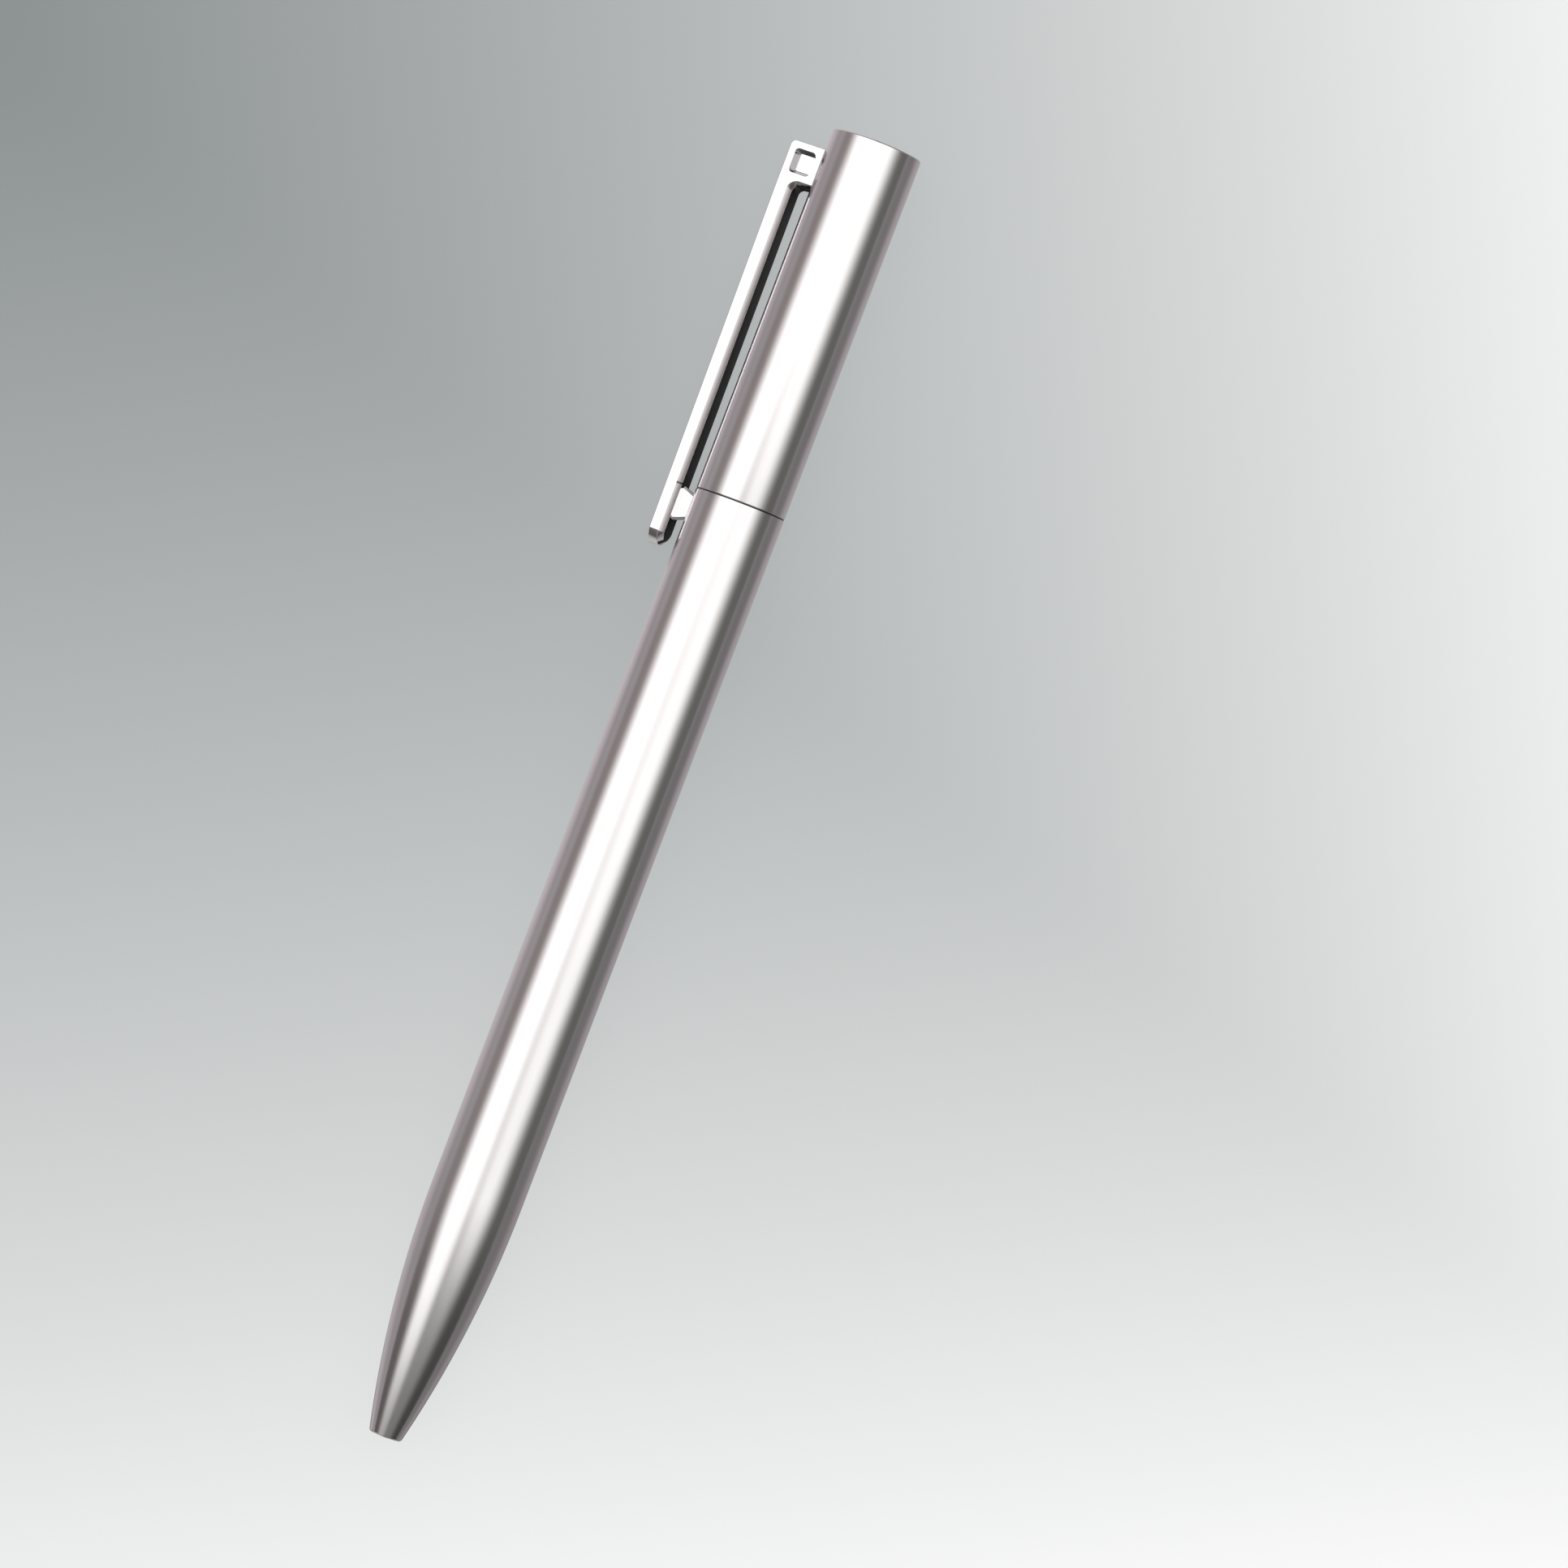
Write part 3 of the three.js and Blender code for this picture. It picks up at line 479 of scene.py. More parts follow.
# %% The front barrel
SIDES = 192
skin = nose.mesh(
    "skin", Length=SEAM_FRONT - SEAM_EDGE - EDGE, Nose_length=NOSE_LENGTH - EDGE,
    Tip_radius=nose_radius(EDGE), Barrel_radius=BARREL_RADIUS, Rings=220, Sides=SIDES)
skin.transform(Matrix.Translation((EDGE, 0, 0)))
bore_rows = [
    (SEAM_FRONT - SEAM_EDGE, BARREL_RADIUS),
    (SEAM_FRONT, BARREL_RADIUS - SEAM_EDGE),
    (SEAM_FRONT, BORE),
    (NOSE_LENGTH, BORE),
    (NOSE_LENGTH - (BORE - REFILL_BORE), REFILL_BORE),
    (SPRING_SEAT + SPRING_ROOM, REFILL_BORE),
    (SPRING_SEAT + SPRING_ROOM - (REFILL_BORE - SPRING_BORE), SPRING_BORE),
    (SPRING_SEAT, SPRING_BORE),
    (SPRING_SEAT, NOSE_HOLE),
    (0, NOSE_HOLE),
    (0, nose_radius(EDGE) - EDGE),
    (EDGE, nose_radius(EDGE)),
]
front_bm = bmesh.new()
front_bm.from_mesh(skin)
spun(front_bm, softened(bore_rows, 0.05), SIDES)
bmesh.ops.remove_doubles(front_bm, verts=front_bm.verts, dist=2e-3)
front_barrel = piece("front_barrel_skin", front_bm)
dress(front_barrel, "front", "satin_silver", "front_barrel")

# %% [markdown]
# ## Cap end
# The cap end is a plain tube of the same width, closed by a disc set just inside its rim. A window
# in its wall lets the clip's tang through. The window is cut out with a boolean on the finished
# tube, because a hole in a lathe's profile would run all the way round.

# %% Helpers for cutting and joining
def loose(name, bm):
    """A working object in millimetres, for booleans."""
    bmesh.ops.recalc_face_normals(bm, faces=bm.faces)
    mesh = bpy.data.meshes.new(name)
    bm.to_mesh(mesh)
    bm.free()
    return placed(name, mesh)


def combined(base, steps):
    """Applies a row of (operation, object) booleans and returns the result as a bmesh."""
    for operation, other in steps:
        modifier = base.modifiers.new("step", "BOOLEAN")
        modifier.operation = operation
        modifier.solver = "EXACT"
        modifier.object = other
        graph = bpy.context.evaluated_depsgraph_get()
        mesh = bpy.data.meshes.new_from_object(base.evaluated_get(graph))
        base.modifiers.remove(modifier)
        base.data = mesh
    bm = bmesh.new()
    bm.from_mesh(base.data)
    for used in [base] + [other for _, other in steps]:
        if used.name in bpy.data.objects:
            bpy.data.objects.remove(used)
    return bm


def block(name, x_range, y_range, z_range):
    bm = bmesh.new()
    bmesh.ops.create_cube(bm, size=1)
    spans = [high - low for low, high in (x_range, y_range, z_range)]
    middle = [(low + high) / 2 for low, high in (x_range, y_range, z_range)]
    bmesh.ops.scale(bm, vec=spans, verts=bm.verts)
    bmesh.ops.translate(bm, vec=middle, verts=bm.verts)
    return loose(name, bm)


def stood_across(bm, at, height):
    """Turns what is drawn along the pen so that it stands along Y at a station."""
    stand = Matrix.Translation((at, height, 0)) @ Matrix.Rotation(math.pi / 2, 4, "Z")
    bmesh.ops.transform(bm, matrix=stand, verts=bm.verts)


def stacked(bm, rings, first=0):
    """Joins a stack of rings with sides, from the first side that is wanted, and closes its ends."""
    count = len(rings[0])
    for low, high in zip(rings, rings[1:]):
        for i in range(first, count):
            n = (i + 1) % count
            bm.faces.new((low[i], low[n], high[n], high[i]))
    bm.faces.new(rings[0])
    bm.faces.new(rings[-1])


# %% The rear barrel
TANG_MIDDLE = PEN_LENGTH - 4.5
TANG_LENGTH = 3.2
TANG_WIDTH = 2.0
GAP = 0.05

tube_rows = [
    (SEAM_REAR, BORE),
    (SEAM_REAR, BARREL_RADIUS - SEAM_EDGE),
    (SEAM_REAR + SEAM_EDGE, BARREL_RADIUS),
    (PEN_LENGTH - EDGE, BARREL_RADIUS),
    (PEN_LENGTH, BARREL_RADIUS - EDGE),
    (PEN_LENGTH, BORE),
]
tube_bm = bmesh.new()
spun(tube_bm, softened(tube_rows, 0.05, closed=True), SIDES, closed=True)
window = block(
    "window",
    (TANG_MIDDLE - TANG_LENGTH / 2 - GAP, TANG_MIDDLE + TANG_LENGTH / 2 + GAP),
    (2.0, BARREL_RADIUS + 1),
    (-TANG_WIDTH / 2 - GAP, TANG_WIDTH / 2 + GAP),
)
rear_barrel = piece("rear_barrel_skin", combined(loose("tube", tube_bm), [("DIFFERENCE", window)]))
dress(rear_barrel, "rear", "satin_silver", "rear_barrel")

# %% The disc that closes the cap end
PLUG_OUTER = BORE - GAP
disc_bm = bmesh.new()
spun(disc_bm, softened([
    (PEN_LENGTH - 1.2, 0),
    (PEN_LENGTH - 1.2, PLUG_OUTER - 0.7),
    (PEN_LENGTH - 2.1, PLUG_OUTER - 0.7),
    (PEN_LENGTH - 2.1, PLUG_OUTER),
    (PEN_LENGTH - EDGE, PLUG_OUTER),
    (PEN_LENGTH, PLUG_OUTER - EDGE),
    (PEN_LENGTH, 0),
], 0.05), SIDES)
end_disc = piece("end_disc", disc_bm)
dress(end_disc, "rear", "satin_silver", "end_plug")

# %% [markdown]
# ## Seam
# Between the two barrels a black slip washer shows as a thin dark line. The cap end reaches over
# half of it with a fine lip, and it is set back very little from the surface, so that the line stays
# as thin and grey as in the photograph.

# %% The seam washer
WASHER_GAP = 0.01
seam_washer = turned("seam_slip_washer", [
    (SEAM_FRONT + WASHER_GAP, BORE),
    (SEAM_FRONT + WASHER_GAP, BARREL_RADIUS - SEAM_EDGE),
    (SEAM_REAR - WASHER_GAP, BARREL_RADIUS - SEAM_EDGE),
    (SEAM_REAR - WASHER_GAP, BORE),
], SIDES, round_corners=0.02)
dress(seam_washer, "front", "black_plastic", "seam_washer")

# %% [markdown]
# ## Clip
# The clip is a straight bar on a square block, drawn from the side and given its width. Its inner
# edge has a wide bevel that turns the corner at the block and runs down its front, and its other
# edges are only broken. So the side view is stacked in layers across the pen, and each layer draws
# every edge back by the bevel or the broken edge. The bar's free end is the same section carried
# round a blunt nose, which starts with a crisp edge and then curves faster and faster.

# %% Values of the clip
HALF = CLIP_WIDTH / 2
ARM_INNER = CLIP_TOP - 1.76
FOOT_TOP = BARREL_RADIUS + 3.23
FOOT_INNER = FOOT_TOP - 1.56
FOOT_END = SEAM_FRONT - 6.87
END_LENGTH = 1.45
# Arcs of the free end: first and last lean in degrees, and length as a share
END_ARCS = ((18, 38, 0.9), (38, 62, 0.85), (62, 90, 0.6))
FOOT_CENTRE = FOOT_END + END_LENGTH
BLOCK_END = PEN_LENGTH - 2.25
BLOCK_START = BLOCK_END - 4.55
BEVEL_BACK = 0.49
BEVEL_DOWN = 0.63
BROKEN_EDGE = 0.08
FILLET = 0.65
BLOCK_CORNER = 0.5


def layer_table():
    """Rows of (distance from the middle, setback of the bevel, setback of a broken edge)."""
    start = HALF - BEVEL_DOWN
    slope = BEVEL_BACK / BEVEL_DOWN
    inner = [
        (start - 0.05, 0.0),
        (start, 0.012),
        (start + 0.05, 0.05 * slope),
        (HALF - 0.05, BEVEL_BACK - 0.05 * slope),
        (HALF - 0.015, BEVEL_BACK),
        (HALF, BEVEL_BACK + 0.05),
    ]
    outer = []
    for step in range(9):
        turn = math.pi / 2 * step / 8
        setback = BROKEN_EDGE * (1 - math.cos(turn))
        outer.append((HALF - BROKEN_EDGE + BROKEN_EDGE * math.sin(turn), setback))
    distances = sorted({round(row[0], 6) for row in inner + outer})

    def read(rows, at):
        if at <= rows[0][0]:
            return rows[0][1]
        for (a, low), (b, high) in zip(rows, rows[1:]):
            if at <= b:
                return low + (high - low) * (at - a) / (b - a)
        return rows[-1][1]

    return [(at, read(inner, at), read(outer, at)) for at in distances]


LAYERS = layer_table()


def arc_points(centre, radius, start, end, steps):
    angles = [math.radians(start + (end - start) * i / steps) for i in range(steps + 1)]
    return [(centre[0] + radius * math.cos(a), centre[1] + radius * math.sin(a)) for a in angles]


def clip_side_view():
    """The outline, as (station, height, share of the bevel on the edge that follows)."""
    line = [(FOOT_CENTRE, FOOT_TOP, 0.0), (FOOT_CENTRE, FOOT_INNER, 1.0)]
    fillet = arc_points((BLOCK_START - FILLET, ARM_INNER - FILLET), FILLET, 90, 0, 8)
    line += [(x, y, 1.0) for x, y in fillet]
    line.append((BLOCK_START, BARREL_RADIUS - 1.0, 0.0))
    line.append((BLOCK_END, BARREL_RADIUS - 1.0, 0.0))
    corner = arc_points((BLOCK_END - BLOCK_CORNER, CLIP_TOP - BLOCK_CORNER), BLOCK_CORNER, 0, 90, 8)
    line += [(x, y, 0.0) for x, y in corner]
    line.append((BLOCK_START, CLIP_TOP, 0.0))
    return line


def setback_outline(line, bevel, broken, cut_end=0):
    """Moves each edge of the outline inwards by its share of the bevel, and finds the new corners."""
    count = len(line)
    edges = []
    for i in range(count):
        a = Vector(line[i][:2])
        b = Vector(line[(i + 1) % count][:2])
        direction = (b - a).normalized()
        inward = Vector((-direction.y, direction.x))
        share = line[i][2]
        amount = 0.0 if i == cut_end else share * bevel + (1 - share) * broken
        edges.append((a + inward * amount, direction))
    corners = []
    for i in range(count):
        (p, d), (q, e) = edges[i - 1], edges[i]
        cross = d.x * e.y - d.y * e.x
        if abs(cross) < 1e-4:
            corners.append(q.copy())
        else:
            along = ((q.x - p.x) * e.y - (q.y - p.y) * e.x) / cross
            corners.append(p + d * along)
    return corners


# %% The clip's bar and block
def end_curve():
    """How far out and how far from the middle the bar's end stands, edge to edge, as shares."""
    out = down = 0.0
    points = [(out, down)]
    for start, end, length in END_ARCS:
        for step in range(8):
            tilt = math.radians(start + (end - start) * (step + 0.5) / 8)
            out += length / 8 * math.cos(tilt)
            down += length / 8 * math.sin(tilt)
            points.append((out, down))
    upper = [(x / out, 1 - z / down) for x, z in points]
    return upper + [(x, -z) for x, z in reversed(upper[:-1])]


def clip_body():
    bm = bmesh.new()
    line = clip_side_view()
    levels = [(-at, inner, outer) for at, inner, outer in reversed(LAYERS)] + LAYERS
    rings = []
    for z, inner, outer in levels:
        ring = setback_outline(line, inner, outer)
        rings.append([bm.verts.new((x, y, z)) for x, y in ring])
    stacked(bm, rings, first=1)
    turned_rings = []
    for bulge, spread in end_curve():
        ring = []
        for z, inner, outer in LAYERS:
            x = FOOT_CENTRE - z / HALF * bulge * END_LENGTH
            across = z * spread
            low = bm.verts.new((x, FOOT_INNER + inner, across))
            high = bm.verts.new((x, FOOT_TOP - outer, across))
            ring.append((low, high))
        turned_rings.append(ring)
    for near, far in zip(turned_rings, turned_rings[1:]):
        for (a_low, a_high), (b_low, b_high), (c_low, c_high), (d_low, d_high) in zip(
                near, near[1:], far, far[1:]):
            bm.faces.new((a_low, b_low, d_low, c_low))
            bm.faces.new((a_high, b_high, d_high, c_high))
        bm.faces.new((near[-1][0], near[-1][1], far[-1][1], far[-1][0]))
    for side in (0, 1):
        bm.faces.new([ring[0][side] for ring in turned_rings])
    bmesh.ops.remove_doubles(bm, verts=bm.verts, dist=1e-4)
    bmesh.ops.triangulate(bm, faces=[face for face in bm.faces if len(face.verts) > 4])
    return loose("clip body", bm)


# %% The pad under the free end, the pocket in the block and the tang
PAD_MIDDLE = SEAM_FRONT - 2.0
PAD_TIP = BARREL_RADIUS + 0.1
PAD_ROOT = FOOT_INNER + 0.8
PAD_TAPER = 0.36
PAD_AT_BAR = 1.86
PAD_HALF = 0.35
PAD_BEVEL = 0.25


def pad():
    """A small wedge under the bar's free end, whose narrow side stands just over the barrel."""
    line = []
    for height, ways in ((PAD_TIP, (-1, 1)), (PAD_ROOT, (1, -1))):
        reach = PAD_AT_BAR + PAD_TAPER * (height - FOOT_INNER)
        line += [(PAD_MIDDLE + way * reach, height, 0.0) for way in ways]
    bm = bmesh.new()
    rings = []
    half = [(PAD_HALF - PAD_BEVEL * 1.1, 0.0), (PAD_HALF - PAD_BEVEL * 0.9, 0.02), (PAD_HALF, PAD_BEVEL)]
    for z, setback in [(-z, setback) for z, setback in reversed(half)] + half:
        ring = setback_outline(line, 0.0, setback, cut_end=2)
        rings.append([bm.verts.new((x, y, z)) for x, y in ring])
    stacked(bm, rings)
    return loose("pad", bm)


POCKET_X = BLOCK_END - 2.04
POCKET_Y = (BARREL_RADIUS + CLIP_TOP) / 2 - 0.14
POCKET_LENGTH = 2.58
POCKET_HEIGHT = 2.43
POCKET_CORNER = 0.45
POCKET_DEPTH = 1.0
# Rows of the pocket's walls: depth under the block's side, and how far the wall stands inwards there
POCKET_WALL = ((-0.1, -0.14), (0.0, -0.04), (0.04, 0.0), (0.96, 0.33), (POCKET_DEPTH, 0.37))
# Painted shade on the pocket's walls: the least share, on walls that run along the pen.
LEAST_POCKET_SHADE = 0.4


def pocket():
    """A pocket with steep walls and round corners, whose mouth is very slightly broken."""
    bm = bmesh.new()
    rings = []
    for depth, run in POCKET_WALL:
        half_length = POCKET_LENGTH / 2 - run
        half_height = POCKET_HEIGHT / 2 - run
        corner = POCKET_CORNER - run
        ring = []
        for quarter in range(4):
            right = 1 if quarter in (0, 3) else -1
            upper = 1 if quarter < 2 else -1
            centre = (POCKET_X + right * (half_length - corner),
                      POCKET_Y + upper * (half_height - corner))
            ring += arc_points(centre, corner, 90 * quarter, 90 * quarter + 90, 8)
        rings.append([bm.verts.new((x, y, HALF - depth)) for x, y in ring])
    stacked(bm, rings)
    return loose("pocket", bm)


def mark_pocket_shade(bm):
    """Marks the pocket's walls for painted shade. Walls that stand across the pen get all of it, the
    others a share.
    """
    bm.normal_update()
    layer = bm.faces.layers.float.new(POCKET_SHADE)
    for face in bm.faces:
        x, y, z = face.calc_center_median()
        in_length = abs(x - POCKET_X) < POCKET_LENGTH / 2 + GAP
        in_height = abs(y - POCKET_Y) < POCKET_HEIGHT / 2 + GAP
        in_depth = HALF - POCKET_DEPTH + 0.01 < z < HALF - 0.03
        if in_length and in_height and in_depth:
            face[layer] = LEAST_POCKET_SHADE + (1 - LEAST_POCKET_SHADE) * abs(face.normal.x)
    return bm


# %% The clip, put together
under_bm = bmesh.new()
spun(under_bm, [(BLOCK_START - 4, 0), (BLOCK_START - 4, BARREL_RADIUS + GAP),
                (BLOCK_END + 4, BARREL_RADIUS + GAP), (BLOCK_END + 4, 0)], SIDES)
TANG_FLOOR = BORE - 0.3
SCREW_STATIONS = (TANG_MIDDLE - 0.9, TANG_MIDDLE + 0.9)
SCREW_HOLE = 0.47
HOLE_END = TANG_FLOOR + 1.95
tang = block("tang", (TANG_MIDDLE - TANG_LENGTH / 2, TANG_MIDDLE + TANG_LENGTH / 2),
             (TANG_FLOOR, BARREL_RADIUS + 0.6), (-TANG_WIDTH / 2, TANG_WIDTH / 2))
clip_steps = [
    ("DIFFERENCE", loose("under block", under_bm)),
    ("UNION", pad()),
    ("UNION", tang),
    ("DIFFERENCE", pocket()),
]
for at in SCREW_STATIONS:
    hole_bm = bmesh.new()
    spun(hole_bm, [(0, 0), (0, SCREW_HOLE), (HOLE_END, SCREW_HOLE), (HOLE_END, 0)], 32)
    stood_across(hole_bm, at, 0)
    clip_steps.append(("DIFFERENCE", loose("hole", hole_bm)))
# The pocket's walls are marked here for painted shade.
clip = piece("clip_skin", mark_pocket_shade(combined(clip_body(), clip_steps)), smooth_angle=14)
weigh_normals(clip)
dress(clip, "rear", "polished_silver", "clip")

# %% [markdown]
# ## Return spring
# A wire wound in a helix, with its last turn at each end wound close so that it stands flat. It is
# a rule along a path, so Geometry Nodes set the points of a line on the helix and sweep a round
# wire along it. In the pen the refill's shoulder squeezes it against its seat by the refill's travel;
# here it is drawn at one length, from the seat to the shoulder.

# %% The return spring
coil = NodeGroup("spring", ("Length", "Coil radius", "Wire radius", "Turns", "End pitch"),
                 ("Points",))
length, coil_radius, wire_radius, turns, end_pitch, points = coil.values()
line = coil.node("GeometryNodeMeshLine")
coil.link(points, line.inputs["Count"])
index = coil.node("GeometryNodeInputIndex").outputs[0]
share = coil.sum("DIVIDE", index, coil.sum("SUBTRACT", points, 1))
turn = coil.sum("MULTIPLY", share, turns)
open_turns = coil.sum("SUBTRACT", turns, 2)
opened = coil.sum("MINIMUM", coil.sum("MAXIMUM", coil.sum("SUBTRACT", turn, 1), 0), open_turns)
open_length = coil.sum("SUBTRACT", length, coil.sum("MULTIPLY", end_pitch, 2))
open_pitch = coil.sum("DIVIDE", open_length, open_turns)
close_part = coil.sum("MULTIPLY", coil.sum("SUBTRACT", turn, opened), end_pitch)
where = coil.sum("ADD", close_part, coil.sum("MULTIPLY", opened, open_pitch))
swing = coil.sum("MULTIPLY", turn, 2 * math.pi)
bend = coil.node("GeometryNodeSetPosition")
coil.link(line.outputs["Mesh"], bend.inputs["Geometry"])
across, upwards = (coil.sum("MULTIPLY", coil_radius, coil.sum(way, swing)) for way in ("COSINE", "SINE"))
coil.link(coil.point(where, across, upwards), bend.inputs["Position"])
path = coil.node("GeometryNodeMeshToCurve")
coil.link(bend.outputs["Geometry"], path.inputs["Mesh"])
ring = coil.node("GeometryNodeCurvePrimitiveCircle")
ring.inputs["Resolution"].default_value = 12
coil.link(wire_radius, ring.inputs["Radius"])
sweep = coil.node("GeometryNodeCurveToMesh")
sweep.inputs["Fill Caps"].default_value = True
coil.link(path.outputs["Curve"], sweep.inputs["Curve"])
coil.link(ring.outputs["Curve"], sweep.inputs["Profile Curve"])
coil.end_with(sweep.outputs["Mesh"], FINISHES["spring_steel"])

WIRE = 0.2
COIL_RADIUS = 1.8
SHOULDER = 16.5
spring_mesh = coil.mesh(
    "wire", Length=SHOULDER - SPRING_SEAT - 2 * (WIRE + GAP), Coil_radius=COIL_RADIUS,
    Wire_radius=WIRE, Turns=10.0, End_pitch=0.55, Points=481)
spring_mesh.transform(Matrix.Translation((SPRING_SEAT + WIRE + GAP, 0, 0)))
spring_bm = bmesh.new()
spring_bm.from_mesh(spring_mesh)
bmesh.ops.triangulate(spring_bm, faces=[face for face in spring_bm.faces if len(face.verts) > 4])
return_spring = piece("return_spring_wire", spring_bm, smooth_angle=40)
dress(return_spring, "front", "spring_steel", "return_spring")
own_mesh(return_spring)

# %% [markdown]
# ## Writing point
# The brass point and its ball show when the refill is out, so they are the finest turning of all. The
# point is a cone with a thin rim that is rolled over the ball to hold it, a fine step behind the
# rim, and a stem that sits in the refill's neck. Both are spun from profiles that are read from the
# tip backwards.

# %% The point
def stations(node):
    """Where a solid starts and ends along the pen, in millimetres from the writing end."""
    low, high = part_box(node)
    return (low.x - front_low.x) / MM, (high.x - front_low.x) / MM


TIP, BALL_BACK = stations("writing_ball")
BALL_RADIUS = (BALL_BACK - TIP) / 2
BALL_CENTRE = TIP + BALL_RADIUS
POINT_RADIUS = 1.15
POINT_STEM = 0.95
INK_CHANNEL = 0.18
BALL_SEAT = BALL_RADIUS + 0.03

point_rows = [
    (TIP + 0.147, 0.315),
    (TIP + 0.150, 0.370),
    (TIP + 0.26, 0.425),
    (TIP + 0.62, 0.50),
    (TIP + 0.66, 0.55),
    (TIP + 2.5, 1.09),
    (TIP + 2.6, POINT_RADIUS),
    (TIP + 7.9, POINT_RADIUS),
    (TIP + 7.95, POINT_RADIUS - 0.05),
    (TIP + 8.15, POINT_RADIUS - 0.05),
    (TIP + 8.2, POINT_RADIUS),
    (TIP + 9.0, POINT_RADIUS),
    (TIP + 9.0, POINT_STEM),
    (TIP + 11.5, POINT_STEM),
    (TIP + 11.5, INK_CHANNEL),
    (TIP + 0.92, INK_CHANNEL),
    (TIP + 0.73, BALL_SEAT),
    (TIP + 0.35, BALL_SEAT),
]
point = turned("nib_point_turned", point_rows, 96, round_corners=0.025)
dress(point, "refill", "turned_brass", "nib_point")

# %% The ball
ball_bm = bmesh.new()
ball_rows = arc_points((BALL_CENTRE, 0), BALL_RADIUS, 180, 0, 32)
spun(ball_bm, [(x, max(r, 0)) for x, r in ball_rows], 64)
ball = piece("writing_ball_ground", ball_bm)
dress(ball, "ball", "hard_ball", "writing_ball")

# %% [markdown]
# ## Refill
# The refill is a drawn steel tube with a soft shoulder, which the spring pushes on, and a plastic
# plug with two grip rings and a vent. Drawn tube has no sharp corner, so its profile is rounded
# more than that of a turned part.

# %% The refill's tube and plug
TUBE_RADIUS = 2.9
TUBE_BORE = 2.6
NECK_RADIUS = 1.45
NECK_BORE = 1.0
PLUG_STEM = 2.55
VENT = 0.5
GRIP_DEPTH = 0.18
tube_start, tube_end = stations("refill_tube")
plug_start, plug_end = stations("refill_plug")
shoulder = TIP + 14.5

refill_tube = turned("refill_tube_drawn", [
    (tube_start, NECK_BORE),
    (tube_start, NECK_RADIUS),
    (shoulder, NECK_RADIUS),
    (shoulder, NECK_RADIUS + 0.75),
    (shoulder + 0.7, TUBE_RADIUS),
    (tube_end, TUBE_RADIUS),
    (tube_end, TUBE_BORE),
    (shoulder + 1.0, TUBE_BORE),
    (shoulder + 0.3, NECK_BORE),
], 96, round_corners=0.14)
dress(refill_tube, "refill", "refill_steel", "refill_tube")

plug_step = plug_start + 3.5
plug_rows = [(plug_start, VENT), (plug_start, PLUG_STEM), (plug_step, PLUG_STEM), (plug_step, TUBE_RADIUS)]
for ring in (plug_start + 5.0, plug_start + 6.2):
    for past, sunk in ((0, 0), (0.1, GRIP_DEPTH), (0.5, GRIP_DEPTH), (0.6, 0)):
        plug_rows.append((ring + past, TUBE_RADIUS - sunk))
plug_rows += [(plug_end - 0.3, TUBE_RADIUS), (plug_end, TUBE_RADIUS - 0.3), (plug_end, VENT)]
refill_plug = turned("refill_plug_moulded", plug_rows, 96)
dress(refill_plug, "refill", "grey_plastic", "refill_plug")

# %% [markdown]
# ## Screw threads
# Three kinds of part inside are threaded: the sleeve bonded in the front barrel, the body of the
# twist unit that screws into it, and the two screws of the clip. A thread is a rule as well, because
# its radius follows the station and the angle together. One tree makes them all. The thread dies
# away at both ends, so that the part's plain rims can be welded to it.

# %% A node tree for threads
thread = NodeGroup("thread", ("Length", "Root radius", "Depth", "Pitch", "Run out"),
                   ("Rings", "Sides"))
length, root_radius, depth, pitch, fading, rings, sides = thread.values()
sheet, station, angle = rolled_grid(thread, length, rings, sides)
turns = thread.sum("SUBTRACT", thread.sum("DIVIDE", station, pitch),
                   thread.sum("DIVIDE", angle, 2 * math.pi))
across_turn = thread.sum("SUBTRACT", thread.sum("MULTIPLY", thread.sum("FRACT", turns), 2), 1)
flank = thread.sum("MULTIPLY", thread.sum("SUBTRACT", 1, thread.sum("ABSOLUTE", across_turn)), 1.3)
ridge = thread.sum("MINIMUM", flank, 1)
to_end = thread.sum("MINIMUM", station, thread.sum("SUBTRACT", length, station))
run_out = thread.sum("MINIMUM", thread.sum("DIVIDE", to_end, fading), 1)
height = thread.sum("MULTIPLY", thread.sum("MULTIPLY", ridge, run_out), depth)
radius = thread.sum("ADD", root_radius, height)
thread.end_with(rolled_up(thread, sheet, station, radius, angle), FINISHES["turned_brass"])


def threaded(start, sizes, sides, *rests):
    """A threaded surface from a start station, welded to the rows of the part's other faces."""
    skin = thread.mesh("skin", Sides=sides, **sizes)
    skin.transform(Matrix.Translation((start, 0, 0)))
    bm = bmesh.new()
    bm.from_mesh(skin)
    for rows in rests:
        spun(bm, softened(rows, 0.04), sides)
    bmesh.ops.remove_doubles(bm, verts=bm.verts, dist=1e-3)
    return bm


# %% The threaded sleeve and the body of the twist unit
THREAD_SIDES = 96
THREAD_ROOT = 3.45
THREAD_GAP = 0.07
insert_start, insert_end = stations("thread_insert")
ferrule_start, ferrule_end = stations("threaded_ferrule")
groove_middle = sum(stations("friction_ring")) / 2
guide_floor = stations("guide_tube")[0] - GAP
neck_radius = BORE - 0.08
groove_floor = neck_radius - 0.45
big_thread = {
    "Length": insert_end - insert_start, "Depth": 0.3, "Pitch": 0.8, "Run_out": 0.5, "Rings": 161}

sleeve = piece("thread_insert_tapped", threaded(
    insert_start, {"Root_radius": THREAD_ROOT + THREAD_GAP, **big_thread}, THREAD_SIDES, [
        (insert_end, THREAD_ROOT + THREAD_GAP),
        (insert_end, BORE - GAP),
        (insert_start, BORE - GAP),
        (insert_start, THREAD_ROOT + THREAD_GAP),
    ]))
dress(sleeve, "front", "turned_brass", "thread_insert")

